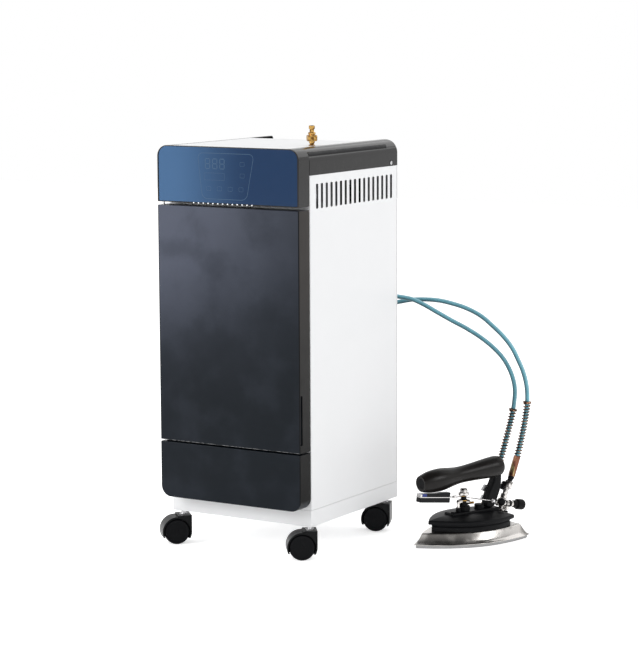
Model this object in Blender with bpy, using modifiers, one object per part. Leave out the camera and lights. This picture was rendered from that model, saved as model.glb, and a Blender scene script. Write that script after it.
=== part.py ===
"""Steam generator cabinet on casters, with a steam iron on two hoses.

Metres, +Z up. The front of the cabinet faces -Y and its right side +X. The pieces are first laid
out in a cabinet frame: x from the cabinet's middle, y back from its front face, z up from the floor.
At the end the whole model moves in plan, so that the origin is the bottom centre of its bounding box.
The iron's own pieces are laid out along its length: s back from the sole's tip, v to its left.
"""
import math

import bmesh
import bpy
from mathutils import Matrix, Vector

MODEL_NAME = "garment_finishing_machine"

# Clearances shared by every piece
TOUCH_GAP = 0.0003
RUNNING_GAP = 0.0005
CUT_OVERRUN = 0.004

# Cabinet, stacked from the floor
CABINET_WIDTH = 0.267
FRONT_DEPTH = 0.032
BODY_DEPTH = 0.276
FLOOR_CLEARANCE = 0.0522
TRAY_HEIGHT = 0.0264
LOWER_PANEL_RISE = 0.0293
LOWER_PANEL_HEIGHT = 0.0909
DOOR_BOTTOM_SEAM = 0.003
DOOR_HEIGHT = 0.3816
DOOR_TOP_SEAM = 0.0056
HOUSING_HEIGHT = 0.0904
RAIL_HEIGHT = 0.0424
SHEET = 0.001

# Corner radii
FRONT_CORNER_RADIUS = 0.018
RAIL_EDGE_RADIUS = 0.014
REAR_CORNER_RADIUS = 0.032
SEAT_CORNER_RADIUS = 0.002

# Top, rails and control housing
RAIL_WIDTH = 0.024
RAIL_WALL = 0.0016
TOP_RECESS = 0.001
TOP_LEDGE_WIDTH = 0.005
HOUSING_WALL = 0.002
HOUSING_LIP = 0.0035
HOUSING_RIM = 0.003
GLASS_THICKNESS = 0.002
GLASS_BORDER = 0.0028
BOARD_THICKNESS = 0.0016
DISPLAY_WIDTH = 0.150
DISPLAY_HEIGHT = 0.052
DISPLAY_BLOCK_DEPTH = 0.006
DISPLAY_BLOCK_WIDTH = 0.070
DISPLAY_BLOCK_HEIGHT = 0.040

# Vents in the side panels
SLOT_COUNT = 17
SLOT_WIDTH = 0.0058
SLOT_HEIGHT = 0.0388
SLOT_CORNER_RADIUS = 0.0016
SLOT_PITCH = 0.01455
SLOT_DROP = 0.0152
SLOT_SETBACK = 0.0224

# Screws of the rails
SCREW_SETBACK = 0.0208
SCREW_RISE = 0.0048
SCREW_HEAD_RADIUS = 0.0032
SCREW_HEAD_HEIGHT = 0.0009
SCREW_SHANK_RADIUS = 0.0014
SCREW_REACH = 0.004

# Door
DOOR_WALL = 0.002
DOOR_BACK_GAP = 0.001
HINGE_INSET = 0.006
HINGE_SETBACK = 0.0086
HINGE_PIN_RADIUS = 0.002
HINGE_HEAD_RADIUS = 0.0034
HINGE_HEAD_HEIGHT = 0.0015
HINGE_REACH = 0.005
GRIP_POCKET_HEIGHT = 0.0948
GRIP_POCKET_RISE = 0.0176
GRIP_POCKET_WIDTH = 0.010
GRIP_POCKET_SETBACK = 0.011
GRIP_POCKET_DEPTH = 0.008

# Front frame behind the door
FRAME_OPENING_WIDTH = 0.224
FRAME_OPENING_HEIGHT = 0.350
FRAME_OPENING_DROP = 0.012

# Boiler with its welded riser, and the heating jacket
BOILER_SIDE_GAP = 0.0162
BOILER_Y = 0.215
BOILER_RADIUS = 0.050
BOILER_HEIGHT = 0.250
BOILER_WALL = 0.003
BOILER_SKIRT_HEIGHT = 0.046
BOILER_SKIRT_INSET = 0.005
BOILER_DOME = 0.016
BOILER_BOSS_RADIUS = 0.011
BOILER_BOSS_HEIGHT = 0.008
BOILER_COLLAR = 0.006
COLLAR_RISE = 0.028
COLLAR_HEIGHT = 0.005
INLET_BOSS_RISE = 0.013
INLET_BOSS_RADIUS = 0.006
INLET_BOSS_LENGTH = 0.010
INLET_BOSS_BORE = 0.0035
RISER_RADIUS = 0.0045
RISER_OFFSET_X = 0.030
RISER_OFFSET_Y = -0.025
RISER_SETBACK = 0.045
JACKET_WALL = 0.011
JACKET_HEIGHT = 0.160

# Water tank and its cap
TANK_BOILER_GAP = 0.0142
TANK_DEPTH = 0.155
TANK_HEIGHT = 0.247
TANK_WALL = 0.0025
TANK_SIDE_GAP = 0.008
TANK_FRONT_GAP = 0.012
TANK_EDGE = 0.006
TANK_NECK_RADIUS = 0.017
TANK_NECK_HEIGHT = 0.014
TANK_NECK_SETBACK = 0.055
TANK_CAP_RADIUS = 0.022
TANK_CAP_HEIGHT = 0.013
TANK_CAP_WALL = 0.002
NIPPLE_RADIUS = 0.005
NIPPLE_BORE = 0.003
NIPPLE_LENGTH = 0.010
TANK_OUTLET_RISE = 0.022
TANK_OUTLET_SETBACK = 0.045
TANK_RETURN_INSET = 0.020

# Feed pump
PUMP_TANK_GAP = 0.0395
PUMP_Y = 0.090
PUMP_LENGTH = 0.052
PUMP_DEPTH = 0.040
PUMP_HEIGHT = 0.050
PUMP_EDGE = 0.004
PIPE_RADIUS = 0.004
PIPE_LEAD = 0.006

# Steam solenoid on the boiler's boss
SOLENOID_BODY_RADIUS = 0.011
SOLENOID_BODY_HEIGHT = 0.022
SOLENOID_COIL_WIDTH = 0.028
SOLENOID_COIL_HEIGHT = 0.030
SOLENOID_NIPPLE_LENGTH = 0.022

# Power board and fan
POWER_BOARD_DEPTH = 0.150
POWER_BOARD_HEIGHT = 0.150
POWER_BOARD_SETBACK = 0.060
POWER_BOARD_RISE = 0.060
STANDOFF_HEIGHT = 0.010
STANDOFF_RADIUS = 0.004
STANDOFF_INSET = 0.010
HEAT_SINK_DEPTH = 0.080
HEAT_SINK_HEIGHT = 0.060
HEAT_SINK_REACH = 0.030
FAN_SIZE = 0.060
FAN_DEPTH = 0.015
FAN_BORE = 0.027
FAN_HUB_RADIUS = 0.011
FAN_BLADE_REACH = 0.0255
FAN_BLADE_COUNT = 7
FAN_BLADE_THICKNESS = 0.0012
FAN_BLADE_WIDTH = 0.0075
FAN_BLADE_PITCH = math.radians(35)
FAN_SPOKE_WIDTH = 0.003
FAN_SPOKE_DEPTH = 0.002
FAN_SHAFT_RADIUS = 0.0015
FAN_SETBACK = 0.138

# Rear manifold and cable gland
MANIFOLD_X = 0.058
MANIFOLD_PLATE = 0.0025
MANIFOLD_BORDER = 0.012
STEAM_OUTLET_HEIGHT = 0.3705
OUTLET_PITCH = 0.021
STEAM_STAND_OFF = 0.044
RETURN_STAND_OFF = 0.026
ELBOW_RADIUS = 0.0055
ELBOW_REACH = 0.020
ELBOW_NUT_RADIUS = 0.0080
ELBOW_NUT_LENGTH = 0.009
GLAND_X = -0.090
GLAND_HEIGHT = 0.120
GLAND_NUT_RADIUS = 0.011
GLAND_NUT_LENGTH = 0.016
GLAND_THREAD_RADIUS = 0.0075
GLAND_BORE = 0.004
GLAND_THREAD_LENGTH = 0.010

# Relief valve on the top panel
RELIEF_INSET = 0.0359
RELIEF_Y = 0.0976
RELIEF_HEIGHT = 0.0335
RELIEF_FLANGE_RADIUS = 0.0055
RELIEF_NUT_RADIUS = 0.0085
RELIEF_STEM_RADIUS = 0.0042
RELIEF_SPIGOT_RADIUS = 0.005
RELIEF_SPIGOT_LENGTH = 0.005

# Casters: each stem's distance from the cabinet's side, and from its front or its back
WHEEL_RADIUS = 0.0208
WHEEL_WIDTH = 0.0138
WHEEL_EDGE = 0.0015
WHEEL_DISH = 0.0008
CASTER_TRAIL = 0.013
CASTER_WIDTH = 0.0330
CASTER_WEB = 0.004
HOOD_RADIUS = 0.0243
HOOD_WALL = 0.0024
HOOD_BACK = 0.0115
HOOD_CLEARANCE = 0.0048
HOOD_SKIRT_DROP = 0.0115
HOOD_FRONT_DROP = 0.0095
AXLE_RADIUS = 0.003
STEM_RADIUS = 0.0035
FRONT_RIGHT_STEM_INSET = 0.0070
FRONT_RIGHT_STEM_SETBACK = 0.0379
FRONT_LEFT_STEM_INSET = 0.0195
FRONT_LEFT_STEM_SETBACK = 0.0334
BACK_STEM_INSET = 0.0083
BACK_STEM_SETBACK = 0.0302

# Iron: the sole's tip on the floor, and the way it points
IRON_TIP_X = 0.2361
IRON_TIP_Y = 0.1816
IRON_TURN = math.radians(66.2)
IRON_FRAME_HEIGHT = 0.001
SOLE_LENGTH = 0.2038
SOLE_HALF_WIDTH = 0.0605
SOLE_NOSE_SHARE = 0.62
SOLE_NOSE_POWER = 2.128
SOLE_TAPER_SHARE = 0.219
SOLE_EDGE_HEIGHT = 0.0038
SOLE_INSET = 0.003
TIP_INSET_SHARE = 1.35
LIP_THICKNESS = 0.0014
SHELL_HEIGHT = 0.0222
SHELL_INSET = 0.0125
SHELL_WALL = 0.002
COVER_TIP = 0.0292
COVER_LENGTH = 0.146
COVER_HALF_WIDTH = 0.0545
COVER_BOTTOM = 0.0342
COVER_RIM = 0.0072
COVER_CROWN = 0.0036
CROWN_INSET = 0.020
SHIELD_INSET = 0.005
SPINE_FRONT = 0.0710
SPINE_HALF_WIDTH = 0.0125
SPINE_TOP = 0.0490
SPINE_END_SETBACK = 0.0070
ROUND_CAP_S = 0.1345
ROUND_CAP_RADIUS = 0.0082
ROUND_CAP_HEIGHT = 0.0078
REAR_BOSS_LENGTH = 0.014
REAR_BOSS_TOP = 0.0392
REAR_BOSS_HALF_WIDTH = 0.0085

# Grip and its post
GRIP_FRONT_S = 0.0135
GRIP_FRONT_Z = 0.1035
GRIP_SLOPE = math.atan(0.078)
GRIP_LENGTH = 0.1665
GRIP_RADIUS = 0.0187
GRIP_STATION_SHARES = (0, 0.01, 0.05, 0.1, 0.17, 0.22, 0.29, 0.36, 0.44, 0.52, 0.61, 0.73, 0.86, 0.93, 0.975, 0.993)
GRIP_RADIUS_SHARES = (0.685, 0.73, 0.835, 0.93, 0.99, 0.995, 0.947, 0.85, 0.76, 0.743, 0.775, 0.845, 0.915, 0.92, 0.835, 0.64)
POST_HALF_WIDTH = 0.008
POST_HEAD_FRONT_S = 0.1613
POST_HEAD_REAR_S = 0.1757
POST_FRONT_SHARES = (0, 0.20, 0.33, 0.44, 0.55, 0.68)
POST_FRONT_SETBACKS = (0.0175, 0.0156, 0.0125, 0.0090, 0.0045, 0)
POST_REAR_SHARES = (0, 0.15, 0.25, 0.37, 0.50, 0.65)
POST_REAR_SETBACKS = (0.0152, 0.0100, 0.0069, 0.0036, 0.0006, 0)
PIVOT_S = 0.1540
PIVOT_Z = 0.0605
PIVOT_PIN_RADIUS = 0.0013
PIVOT_HEAD_RADIUS = 0.0026
PIVOT_HEAD_HEIGHT = 0.0012
EYE_RADIUS = 0.0030
EYE_HALF_WIDTH = 0.0014

# Trigger lever under the grip
LEVER_FRONT_S = 0.0087
LEVER_FRONT_Z = 0.0832
LEVER_REAR_S = 0.0700
LEVER_REAR_Z = 0.0755
LEVER_VALVE_Z = 0.0722
LEVER_HALF_WIDTH = 0.006
LEVER_PLATE = 0.0016
LEVER_LOWER_PAD = 0.0082
LEVER_UPPER_PAD = 0.0050
LEVER_UPPER_SETBACK = 0.0056
ROD_RADIUS = 0.0010
ROD_BEND_S = 0.1400
ROD_STRAIGHT_S = 0.1120

# Steam valve
VALVE_S = 0.1000
VALVE_HEX_RADIUS = 0.0120
VALVE_HEX_HEIGHT = 0.0080
VALVE_BODY_RADIUS = 0.0078
VALVE_NUT_RADIUS = 0.0095
VALVE_NUT_HEIGHT = 0.0070
VALVE_TOP = 0.0868
VALVE_DOME = 0.0022
WINDOW_BOTTOM = 0.0660
WINDOW_TOP = 0.0778

# Inlet valve behind the post, its knob, and the hoses' ferrules
INLET_FOOT_S = 0.1810
INLET_FOOT_RADIUS = 0.0052
INLET_BODY_BASE_Z = 0.0520
INLET_TOP_S = 0.2021
INLET_TOP_Z = 0.0937
INLET_BODY_RADIUS = 0.0056
INLET_NUT_RADIUS = 0.0079
INLET_NUT_LENGTH = 0.0085
INLET_NUT_SHARES = (0.22, 0.70)
KNOB_DROP = math.radians(10.5)
KNOB_ARM = 0.0248
KNOB_RADIUS = 0.0088
KNOB_NECK_RADIUS = 0.0060
KNOB_NECK_LENGTH = 0.006
KNOB_LENGTH = 0.0225
KNOB_EDGE = 0.0015
SPINDLE_RADIUS = 0.0018
SPINDLE_REACH = 0.008
FERRULE_LEAN = math.radians(20.6)
FERRULE_LENGTH = 0.0345
FERRULE_RADIUS = 0.0062
FERRULE_DEPTH = 0.022
RETURN_SIDE = 0.024
RETURN_FOOT_S = 0.1660
RETURN_TOP_S = 0.1965
RETURN_TOP_Z = 0.1145
RETURN_BODY_RADIUS = 0.0046
RETURN_FOOT_RADIUS = 0.0070
RETURN_FOOT_HEIGHT = 0.006

# Hoses and their springs
HOSE_RADIUS = 0.0037
HOSE_POINT_SPACING = 0.015
SPRING_WIRE_RADIUS = 0.00060
SPRING_HOSE_GAP = 0.00045
SPRING_LENGTH = 0.0830
SPRING_TURNS = 16
SPRING_POINTS_PER_TURN = 9
STEAM_HOSE_ROUTE = (
    (0.1044, 0.3587, 0.3748),
    (0.1306, 0.3631, 0.3801),
    (0.1575, 0.3676, 0.3816),
    (0.1795, 0.3713, 0.3806),
    (0.2011, 0.3749, 0.3767),
    (0.2262, 0.3790, 0.3697),
    (0.2510, 0.3832, 0.3580),
    (0.2725, 0.3868, 0.3412),
    (0.2908, 0.3898, 0.3244),
    (0.3056, 0.3923, 0.3058),
    (0.3155, 0.3939, 0.2870),
    (0.3239, 0.3953, 0.2683),
    (0.3298, 0.3963, 0.2461),
    (0.3315, 0.3966, 0.2206),
    (0.3295, 0.3935, 0.1910),
    (0.3262, 0.3865, 0.1570),
)
RETURN_HOSE_ROUTE = (
    (0.1131, 0.3418, 0.3871),
    (0.1385, 0.3491, 0.3829),
    (0.1575, 0.3546, 0.3747),
    (0.1811, 0.3614, 0.3616),
    (0.2048, 0.3682, 0.3486),
    (0.2285, 0.3750, 0.3364),
    (0.2519, 0.3817, 0.3219),
    (0.2722, 0.3876, 0.3057),
    (0.2880, 0.3921, 0.2886),
    (0.2990, 0.3953, 0.2696),
    (0.3052, 0.3971, 0.2521),
    (0.3078, 0.3978, 0.2360),
    (0.3071, 0.3976, 0.2184),
    (0.3049, 0.3965, 0.2003),
    (0.3000, 0.3860, 0.1610),
)

# Counts of the facets
ROUND_SEGMENTS = 24
SMALL_SEGMENTS = 12
WHEEL_SEGMENTS = 20
POCKET_SEGMENTS = 16
CORNER_STEPS = 5
SOLE_STEPS = 12

# Levels worked out from the sizes above
TRAY_TOP = FLOOR_CLEARANCE + TRAY_HEIGHT
TRAY_FLOOR = FLOOR_CLEARANCE + SHEET
LOWER_PANEL_BOTTOM = FLOOR_CLEARANCE + LOWER_PANEL_RISE
LOWER_PANEL_TOP = LOWER_PANEL_BOTTOM + LOWER_PANEL_HEIGHT
DOOR_BOTTOM = LOWER_PANEL_TOP + DOOR_BOTTOM_SEAM
DOOR_TOP = DOOR_BOTTOM + DOOR_HEIGHT
HOUSING_BOTTOM = DOOR_TOP + DOOR_TOP_SEAM
CABINET_TOP = HOUSING_BOTTOM + HOUSING_HEIGHT
RAIL_BOTTOM = CABINET_TOP - RAIL_HEIGHT
TOP_PANEL_TOP = CABINET_TOP - TOP_RECESS
TOP_PANEL_UNDERSIDE = TOP_PANEL_TOP - SHEET
HALF_WIDTH = CABINET_WIDTH / 2
CABINET_DEPTH = FRONT_DEPTH + BODY_DEPTH
RAIL_INNER_X = HALF_WIDTH - RAIL_WIDTH
INNER_HALF_WIDTH = HALF_WIDTH - SHEET
INNER_BACK = CABINET_DEPTH - SHEET
HINGE_X = HINGE_INSET - HALF_WIDTH
HINGE_Y = HINGE_SETBACK
RELIEF_X = HALF_WIDTH - RELIEF_INSET
BOILER_X = INNER_HALF_WIDTH - BOILER_SIDE_GAP - JACKET_WALL - TOUCH_GAP - BOILER_RADIUS
TANK_LEFT = TANK_SIDE_GAP - INNER_HALF_WIDTH
TANK_RIGHT = BOILER_X - BOILER_RADIUS - TOUCH_GAP - JACKET_WALL - TANK_BOILER_GAP
PUMP_X = TANK_RIGHT + PUMP_TANK_GAP + PUMP_LENGTH / 2
RETURN_INLET_HEIGHT = STEAM_OUTLET_HEIGHT + OUTLET_PITCH
BACK_STEM_X = HALF_WIDTH - BACK_STEM_INSET
BACK_STEM_Y = CABINET_DEPTH - BACK_STEM_SETBACK
CASTERS = {
    "front_right": (HALF_WIDTH - FRONT_RIGHT_STEM_INSET, FRONT_RIGHT_STEM_SETBACK, -53.5),
    "front_left": (FRONT_LEFT_STEM_INSET - HALF_WIDTH, FRONT_LEFT_STEM_SETBACK, -45.5),
    "back_right": (BACK_STEM_X, BACK_STEM_Y, -67.5),
    "back_left": (-BACK_STEM_X, BACK_STEM_Y, -60.0),
}

COLOURS = {
    "white_paint": ((0.86, 0.87, 0.88), 0.35, 0.0),
    "black_rail": ((0.055, 0.055, 0.058), 0.3, 0.0),
    "charcoal_door": ((0.09, 0.092, 0.115), 0.35, 0.0),
    "blue_glass": ((0.045, 0.09, 0.20), 0.08, 0.0),
    "black_plastic": ((0.008, 0.009, 0.011), 0.5, 0.0),
    "grip_plastic": ((0.02, 0.018, 0.017), 0.42, 0.0),
    "polished_steel": ((0.75, 0.75, 0.76), 0.12, 1.0),
    "cast_aluminium": ((0.62, 0.62, 0.63), 0.35, 1.0),
    "brass": ((0.55, 0.36, 0.10), 0.28, 1.0),
    "steel": ((0.45, 0.46, 0.47), 0.35, 1.0),
    "tank_plastic": ((0.75, 0.80, 0.84), 0.3, 0.0),
    "board_green": ((0.02, 0.13, 0.06), 0.45, 0.0),
    "hose_teal": ((0.07, 0.26, 0.31), 0.45, 0.0),
    "spring_copper": ((0.50, 0.26, 0.13), 0.3, 1.0),
    "insulation": ((0.55, 0.52, 0.46), 0.8, 0.0),
}


# Scene, materials and collections
def clear_scene():
    for item in list(bpy.data.objects):
        bpy.data.objects.remove(item)


def new_collection(name):
    collection = bpy.data.collections.new(name)
    bpy.context.scene.collection.children.link(collection)
    return collection


def colour_material(key, name):
    rgb, roughness, metallic = COLOURS[key]
    material = bpy.data.materials.new(name)
    material.use_nodes = True
    shader = material.node_tree.nodes["Principled BSDF"]
    shader.inputs["Base Color"].default_value = (*rgb, 1.0)
    shader.inputs["Roughness"].default_value = roughness
    shader.inputs["Metallic"].default_value = metallic
    material.diffuse_color = (*rgb, 1.0)
    return material


clear_scene()
PARTS = new_collection(MODEL_NAME)
CUTTERS = new_collection("cutters")


def remove_object(item):
    data = item.data
    bpy.data.objects.remove(item)
    if isinstance(data, bpy.types.Mesh):
        bpy.data.meshes.remove(data)
    else:
        bpy.data.curves.remove(data)


def guide_object(name, data):
    item = bpy.data.objects.new(name, data)
    item.hide_render = True
    item.display_type = "WIRE"
    CUTTERS.objects.link(item)
    return item


def evaluated_mesh(item):
    bpy.context.view_layer.update()
    graph = bpy.context.evaluated_depsgraph_get()
    return bpy.data.meshes.new_from_object(item.evaluated_get(graph), depsgraph=graph)


def snap(work):
    """Rounds every vertex to a tenth of a micrometre, so that faces meant to be level are level."""
    for vertex in work.verts:
        vertex.co = [round(value, 7) for value in vertex.co]


def solid_from(item, name):
    """Turns a curve or a mesh with modifiers into a plain closed mesh, in a new object."""
    mesh = evaluated_mesh(item)
    mesh.transform(item.matrix_world)
    work = bmesh.new()
    work.from_mesh(mesh)
    bmesh.ops.remove_doubles(work, verts=work.verts, dist=1e-6)
    snap(work)
    bmesh.ops.recalc_face_normals(work, faces=work.faces)
    work.to_mesh(mesh)
    work.free()
    remove_object(item)
    return guide_object(name, mesh)


def solid_from_bmesh(work, name):
    mesh = bpy.data.meshes.new(name)
    snap(work)
    bmesh.ops.recalc_face_normals(work, faces=work.faces)
    work.to_mesh(mesh)
    work.free()
    return guide_object(name, mesh)


def open_edges(mesh):
    work = bmesh.new()
    work.from_mesh(mesh)
    count = sum(not edge.is_manifold for edge in work.edges)
    work.free()
    return count


def triangulate(item):
    work = bmesh.new()
    work.from_mesh(item.data)
    bmesh.ops.triangulate(work, faces=work.faces)
    work.to_mesh(item.data)
    work.free()


def boolean(target, other, operation):
    """Applies one exact Boolean; a result that isn't closed is made again from triangles."""
    modifier = target.modifiers.new("boolean", "BOOLEAN")
    modifier.solver = "EXACT"
    modifier.operation = operation
    modifier.object = other
    mesh = evaluated_mesh(target)
    if open_edges(mesh):
        triangulate(target)
        triangulate(other)
        mesh = evaluated_mesh(target)
    target.modifiers.clear()
    old = target.data
    target.data = mesh
    bpy.data.meshes.remove(old)
    remove_object(other)
    return target


def cut(target, *others):
    for other in others:
        boolean(target, other, "DIFFERENCE")
    return target


def join(target, *others):
    for other in others:
        boolean(target, other, "UNION")
    return target


def common(target, other):
    return boolean(target, other, "INTERSECT")


def finish_part(item, name, colour, origin=None, parent=None):
    """Names the piece, gives it its material, and puts its origin on its joint if it has one."""
    if origin is not None:
        item.data.transform(Matrix.Translation(-Vector(origin)))
        item.location = Vector(origin)
    if parent is not None:
        item.parent = parent
    item.name = name
    item.data.name = name
    item.hide_render = False
    item.display_type = "TEXTURED"
    CUTTERS.objects.unlink(item)
    PARTS.objects.link(item)
    item.data.materials.clear()
    item.data.materials.append(colour_material(colour, name))
    item.data.shade_smooth()
    item.data.set_sharp_from_angle(angle=math.radians(30))
    return item


# Basic shapes
def box(low, high):
    work = bmesh.new()
    bmesh.ops.create_cube(work, size=1)
    low = Vector(low)
    high = Vector(high)
    size = high - low
    matrix = Matrix.Translation((low + high) / 2) @ Matrix.Diagonal((*size, 1))
    bmesh.ops.transform(work, matrix=matrix, verts=work.verts)
    return solid_from_bmesh(work, "box")


def edged_box(low, high, edge):
    item = box(low, high)
    modifier = item.modifiers.new("edge", "BEVEL")
    modifier.width = edge
    modifier.segments = 1
    return solid_from(item, "edged_box")


def direction_matrix(start, direction):
    turn = Vector((0, 0, 1)).rotation_difference(Vector(direction).normalized())
    return Matrix.Translation(Vector(start)) @ turn.to_matrix().to_4x4()


def rod(start, end, radius, segments=ROUND_SEGMENTS):
    start = Vector(start)
    end = Vector(end)
    length = (end - start).length
    work = bmesh.new()
    bmesh.ops.create_cone(work, cap_ends=True, segments=segments, radius1=radius, radius2=radius, depth=length)
    bmesh.ops.transform(work, matrix=direction_matrix((start + end) / 2, end - start), verts=work.verts)
    return solid_from_bmesh(work, "rod")


def turned(profile, start=(0, 0, 0), direction=(0, 0, 1), segments=ROUND_SEGMENTS, ring=False):
    """Turns a profile of (radius, height) points, listed from the top down, about its axis."""
    mesh = bpy.data.meshes.new("profile")
    count = len(profile)
    edges = [(i, i + 1) for i in range(count - 1)]
    if ring:
        edges.append((count - 1, 0))
    mesh.from_pydata([(radius, 0, height) for radius, height in profile], edges, [])
    item = guide_object("turned", mesh)
    screw = item.modifiers.new("screw", "SCREW")
    screw.steps = segments
    screw.render_steps = segments
    screw.use_merge_vertices = True
    screw.merge_threshold = 1e-5
    item.matrix_world = direction_matrix(start, direction)
    return solid_from(item, "turned")


PLANES = {
    "XY": Matrix.Identity(3),
    "XZ": Matrix(((1, 0, 0), (0, 0, -1), (0, 1, 0))),
    "YZ": Matrix(((0, 0, 1), (1, 0, 0), (0, 1, 0))),
}
PLANE_NORMALS = {"XY": (0, 0, 1), "XZ": (0, 1, 0), "YZ": (1, 0, 0)}


def prism(loops, low, high, plane):
    """Extrudes an outline and its holes, drawn in the named plane, from low to high across it."""
    curve = bpy.data.curves.new("outline", "CURVE")
    curve.dimensions = "2D"
    curve.fill_mode = "BOTH"
    curve.extrude = (high - low) / 2
    for loop in loops:
        spline = curve.splines.new("POLY")
        spline.points.add(len(loop) - 1)
        for point, (a, b) in zip(spline.points, loop):
            point.co = (a, b, 0, 1)
        spline.use_cyclic_u = True
    item = guide_object("outline", curve)
    place = Vector(PLANE_NORMALS[plane]) * ((low + high) / 2)
    item.matrix_world = Matrix.Translation(place) @ PLANES[plane].to_4x4()
    return solid_from(item, "prism")


def tube(points, radius, sides=8):
    curve = bpy.data.curves.new("route", "CURVE")
    curve.dimensions = "3D"
    curve.bevel_depth = radius
    curve.bevel_resolution = (sides - 4) // 2
    curve.use_fill_caps = True
    spline = curve.splines.new("POLY")
    spline.points.add(len(points) - 1)
    for point, place in zip(spline.points, points):
        point.co = (*place, 1)
    item = guide_object("route", curve)
    return solid_from(item, "tube")


def arc(centre, radius, start, end, steps=CORNER_STEPS):
    """Points of an arc between two angles in degrees."""
    points = []
    for i in range(steps + 1):
        angle = math.radians(start + (end - start) * i / steps)
        points.append((centre[0] + radius * math.cos(angle), centre[1] + radius * math.sin(angle)))
    return points


def rounded_outline(low, high, bottom_radius, top_radius, steps=CORNER_STEPS):
    """A rectangle with one radius at both bottom corners and one at both top corners."""
    (x0, y0), (x1, y1) = low, high
    points = []
    corners = (
        (x1, y0, -1, 1, bottom_radius, -90),
        (x1, y1, -1, -1, top_radius, 0),
        (x0, y1, 1, -1, top_radius, 90),
        (x0, y0, 1, 1, bottom_radius, 180),
    )
    for x, y, side_x, side_y, radius, start in corners:
        if radius > 0:
            centre = (x + side_x * radius, y + side_y * radius)
            points += arc(centre, radius, start, start + 90, steps)
        else:
            points.append((x, y))
    return points


def circle(centre, radius, segments=SMALL_SEGMENTS):
    points = arc(centre, radius, 0, 360, segments)
    return points[:-1]


def loft(rings):
    """Closes a stack of rings with equal counts of points into one solid."""
    work = bmesh.new()
    rows = [[work.verts.new(point) for point in ring] for ring in rings]
    count = len(rows[0])
    for lower, upper in zip(rows, rows[1:]):
        for i in range(count):
            j = (i + 1) % count
            work.faces.new((lower[i], lower[j], upper[j], upper[i]))
    work.faces.new(list(reversed(rows[0])))
    work.faces.new(rows[-1])
    return solid_from_bmesh(work, "loft")


def mirrored(item, name, colour):
    """A copy of a finished piece on the cabinet's other side."""
    mesh = item.data.copy()
    mesh.transform(Matrix.Diagonal((-1, 1, 1, 1)))
    mesh.flip_normals()
    copy = guide_object(name, mesh)
    return finish_part(copy, name, colour)


# Cabinet shell
def base_tray():
    work = bmesh.new()
    bmesh.ops.create_cube(work, size=1)
    centre = Vector((0, FRONT_DEPTH + BODY_DEPTH / 2, FLOOR_CLEARANCE + TRAY_HEIGHT / 2))
    size = Matrix.Diagonal((CABINET_WIDTH, BODY_DEPTH, TRAY_HEIGHT, 1))
    bmesh.ops.transform(work, matrix=Matrix.Translation(centre) @ size, verts=work.verts)
    lid = [face for face in work.faces if face.normal.z > 0.5]
    bmesh.ops.delete(work, geom=lid, context="FACES")
    item = solid_from_bmesh(work, "tray")
    wall = item.modifiers.new("wall", "SOLIDIFY")
    wall.thickness = SHEET
    wall.offset = -1
    wall.use_even_offset = True
    return finish_part(solid_from(item, "tray"), "base_tray", "white_paint")


def front_frame():
    outer_low = (-HALF_WIDTH, TRAY_TOP + TOUCH_GAP)
    outer_high = (HALF_WIDTH, RAIL_BOTTOM - TOUCH_GAP)
    opening_top = DOOR_TOP - FRAME_OPENING_DROP
    half_opening = FRAME_OPENING_WIDTH / 2
    loops = [
        rounded_outline(outer_low, outer_high, 0, 0),
        rounded_outline(
            (-half_opening, opening_top - FRAME_OPENING_HEIGHT),
            (half_opening, opening_top),
            SEAT_CORNER_RADIUS,
            SEAT_CORNER_RADIUS,
            1,
        ),
    ]
    item = prism(loops, FRONT_DEPTH, FRONT_DEPTH + SHEET, "XZ")
    return finish_part(item, "front_frame", "white_paint")


PANEL_FRONT = FRONT_DEPTH + SHEET + TOUCH_GAP
PANEL_BACK = CABINET_DEPTH - RAIL_WALL - TOUCH_GAP
LEDGE_TOP = TOP_PANEL_UNDERSIDE - TOUCH_GAP
WEB_OUTER_X = HALF_WIDTH - RAIL_WALL - TOUCH_GAP
FIRST_SLOT_Y = FRONT_DEPTH + SLOT_SETBACK
SLOT_TOP = RAIL_BOTTOM - SLOT_DROP


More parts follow.
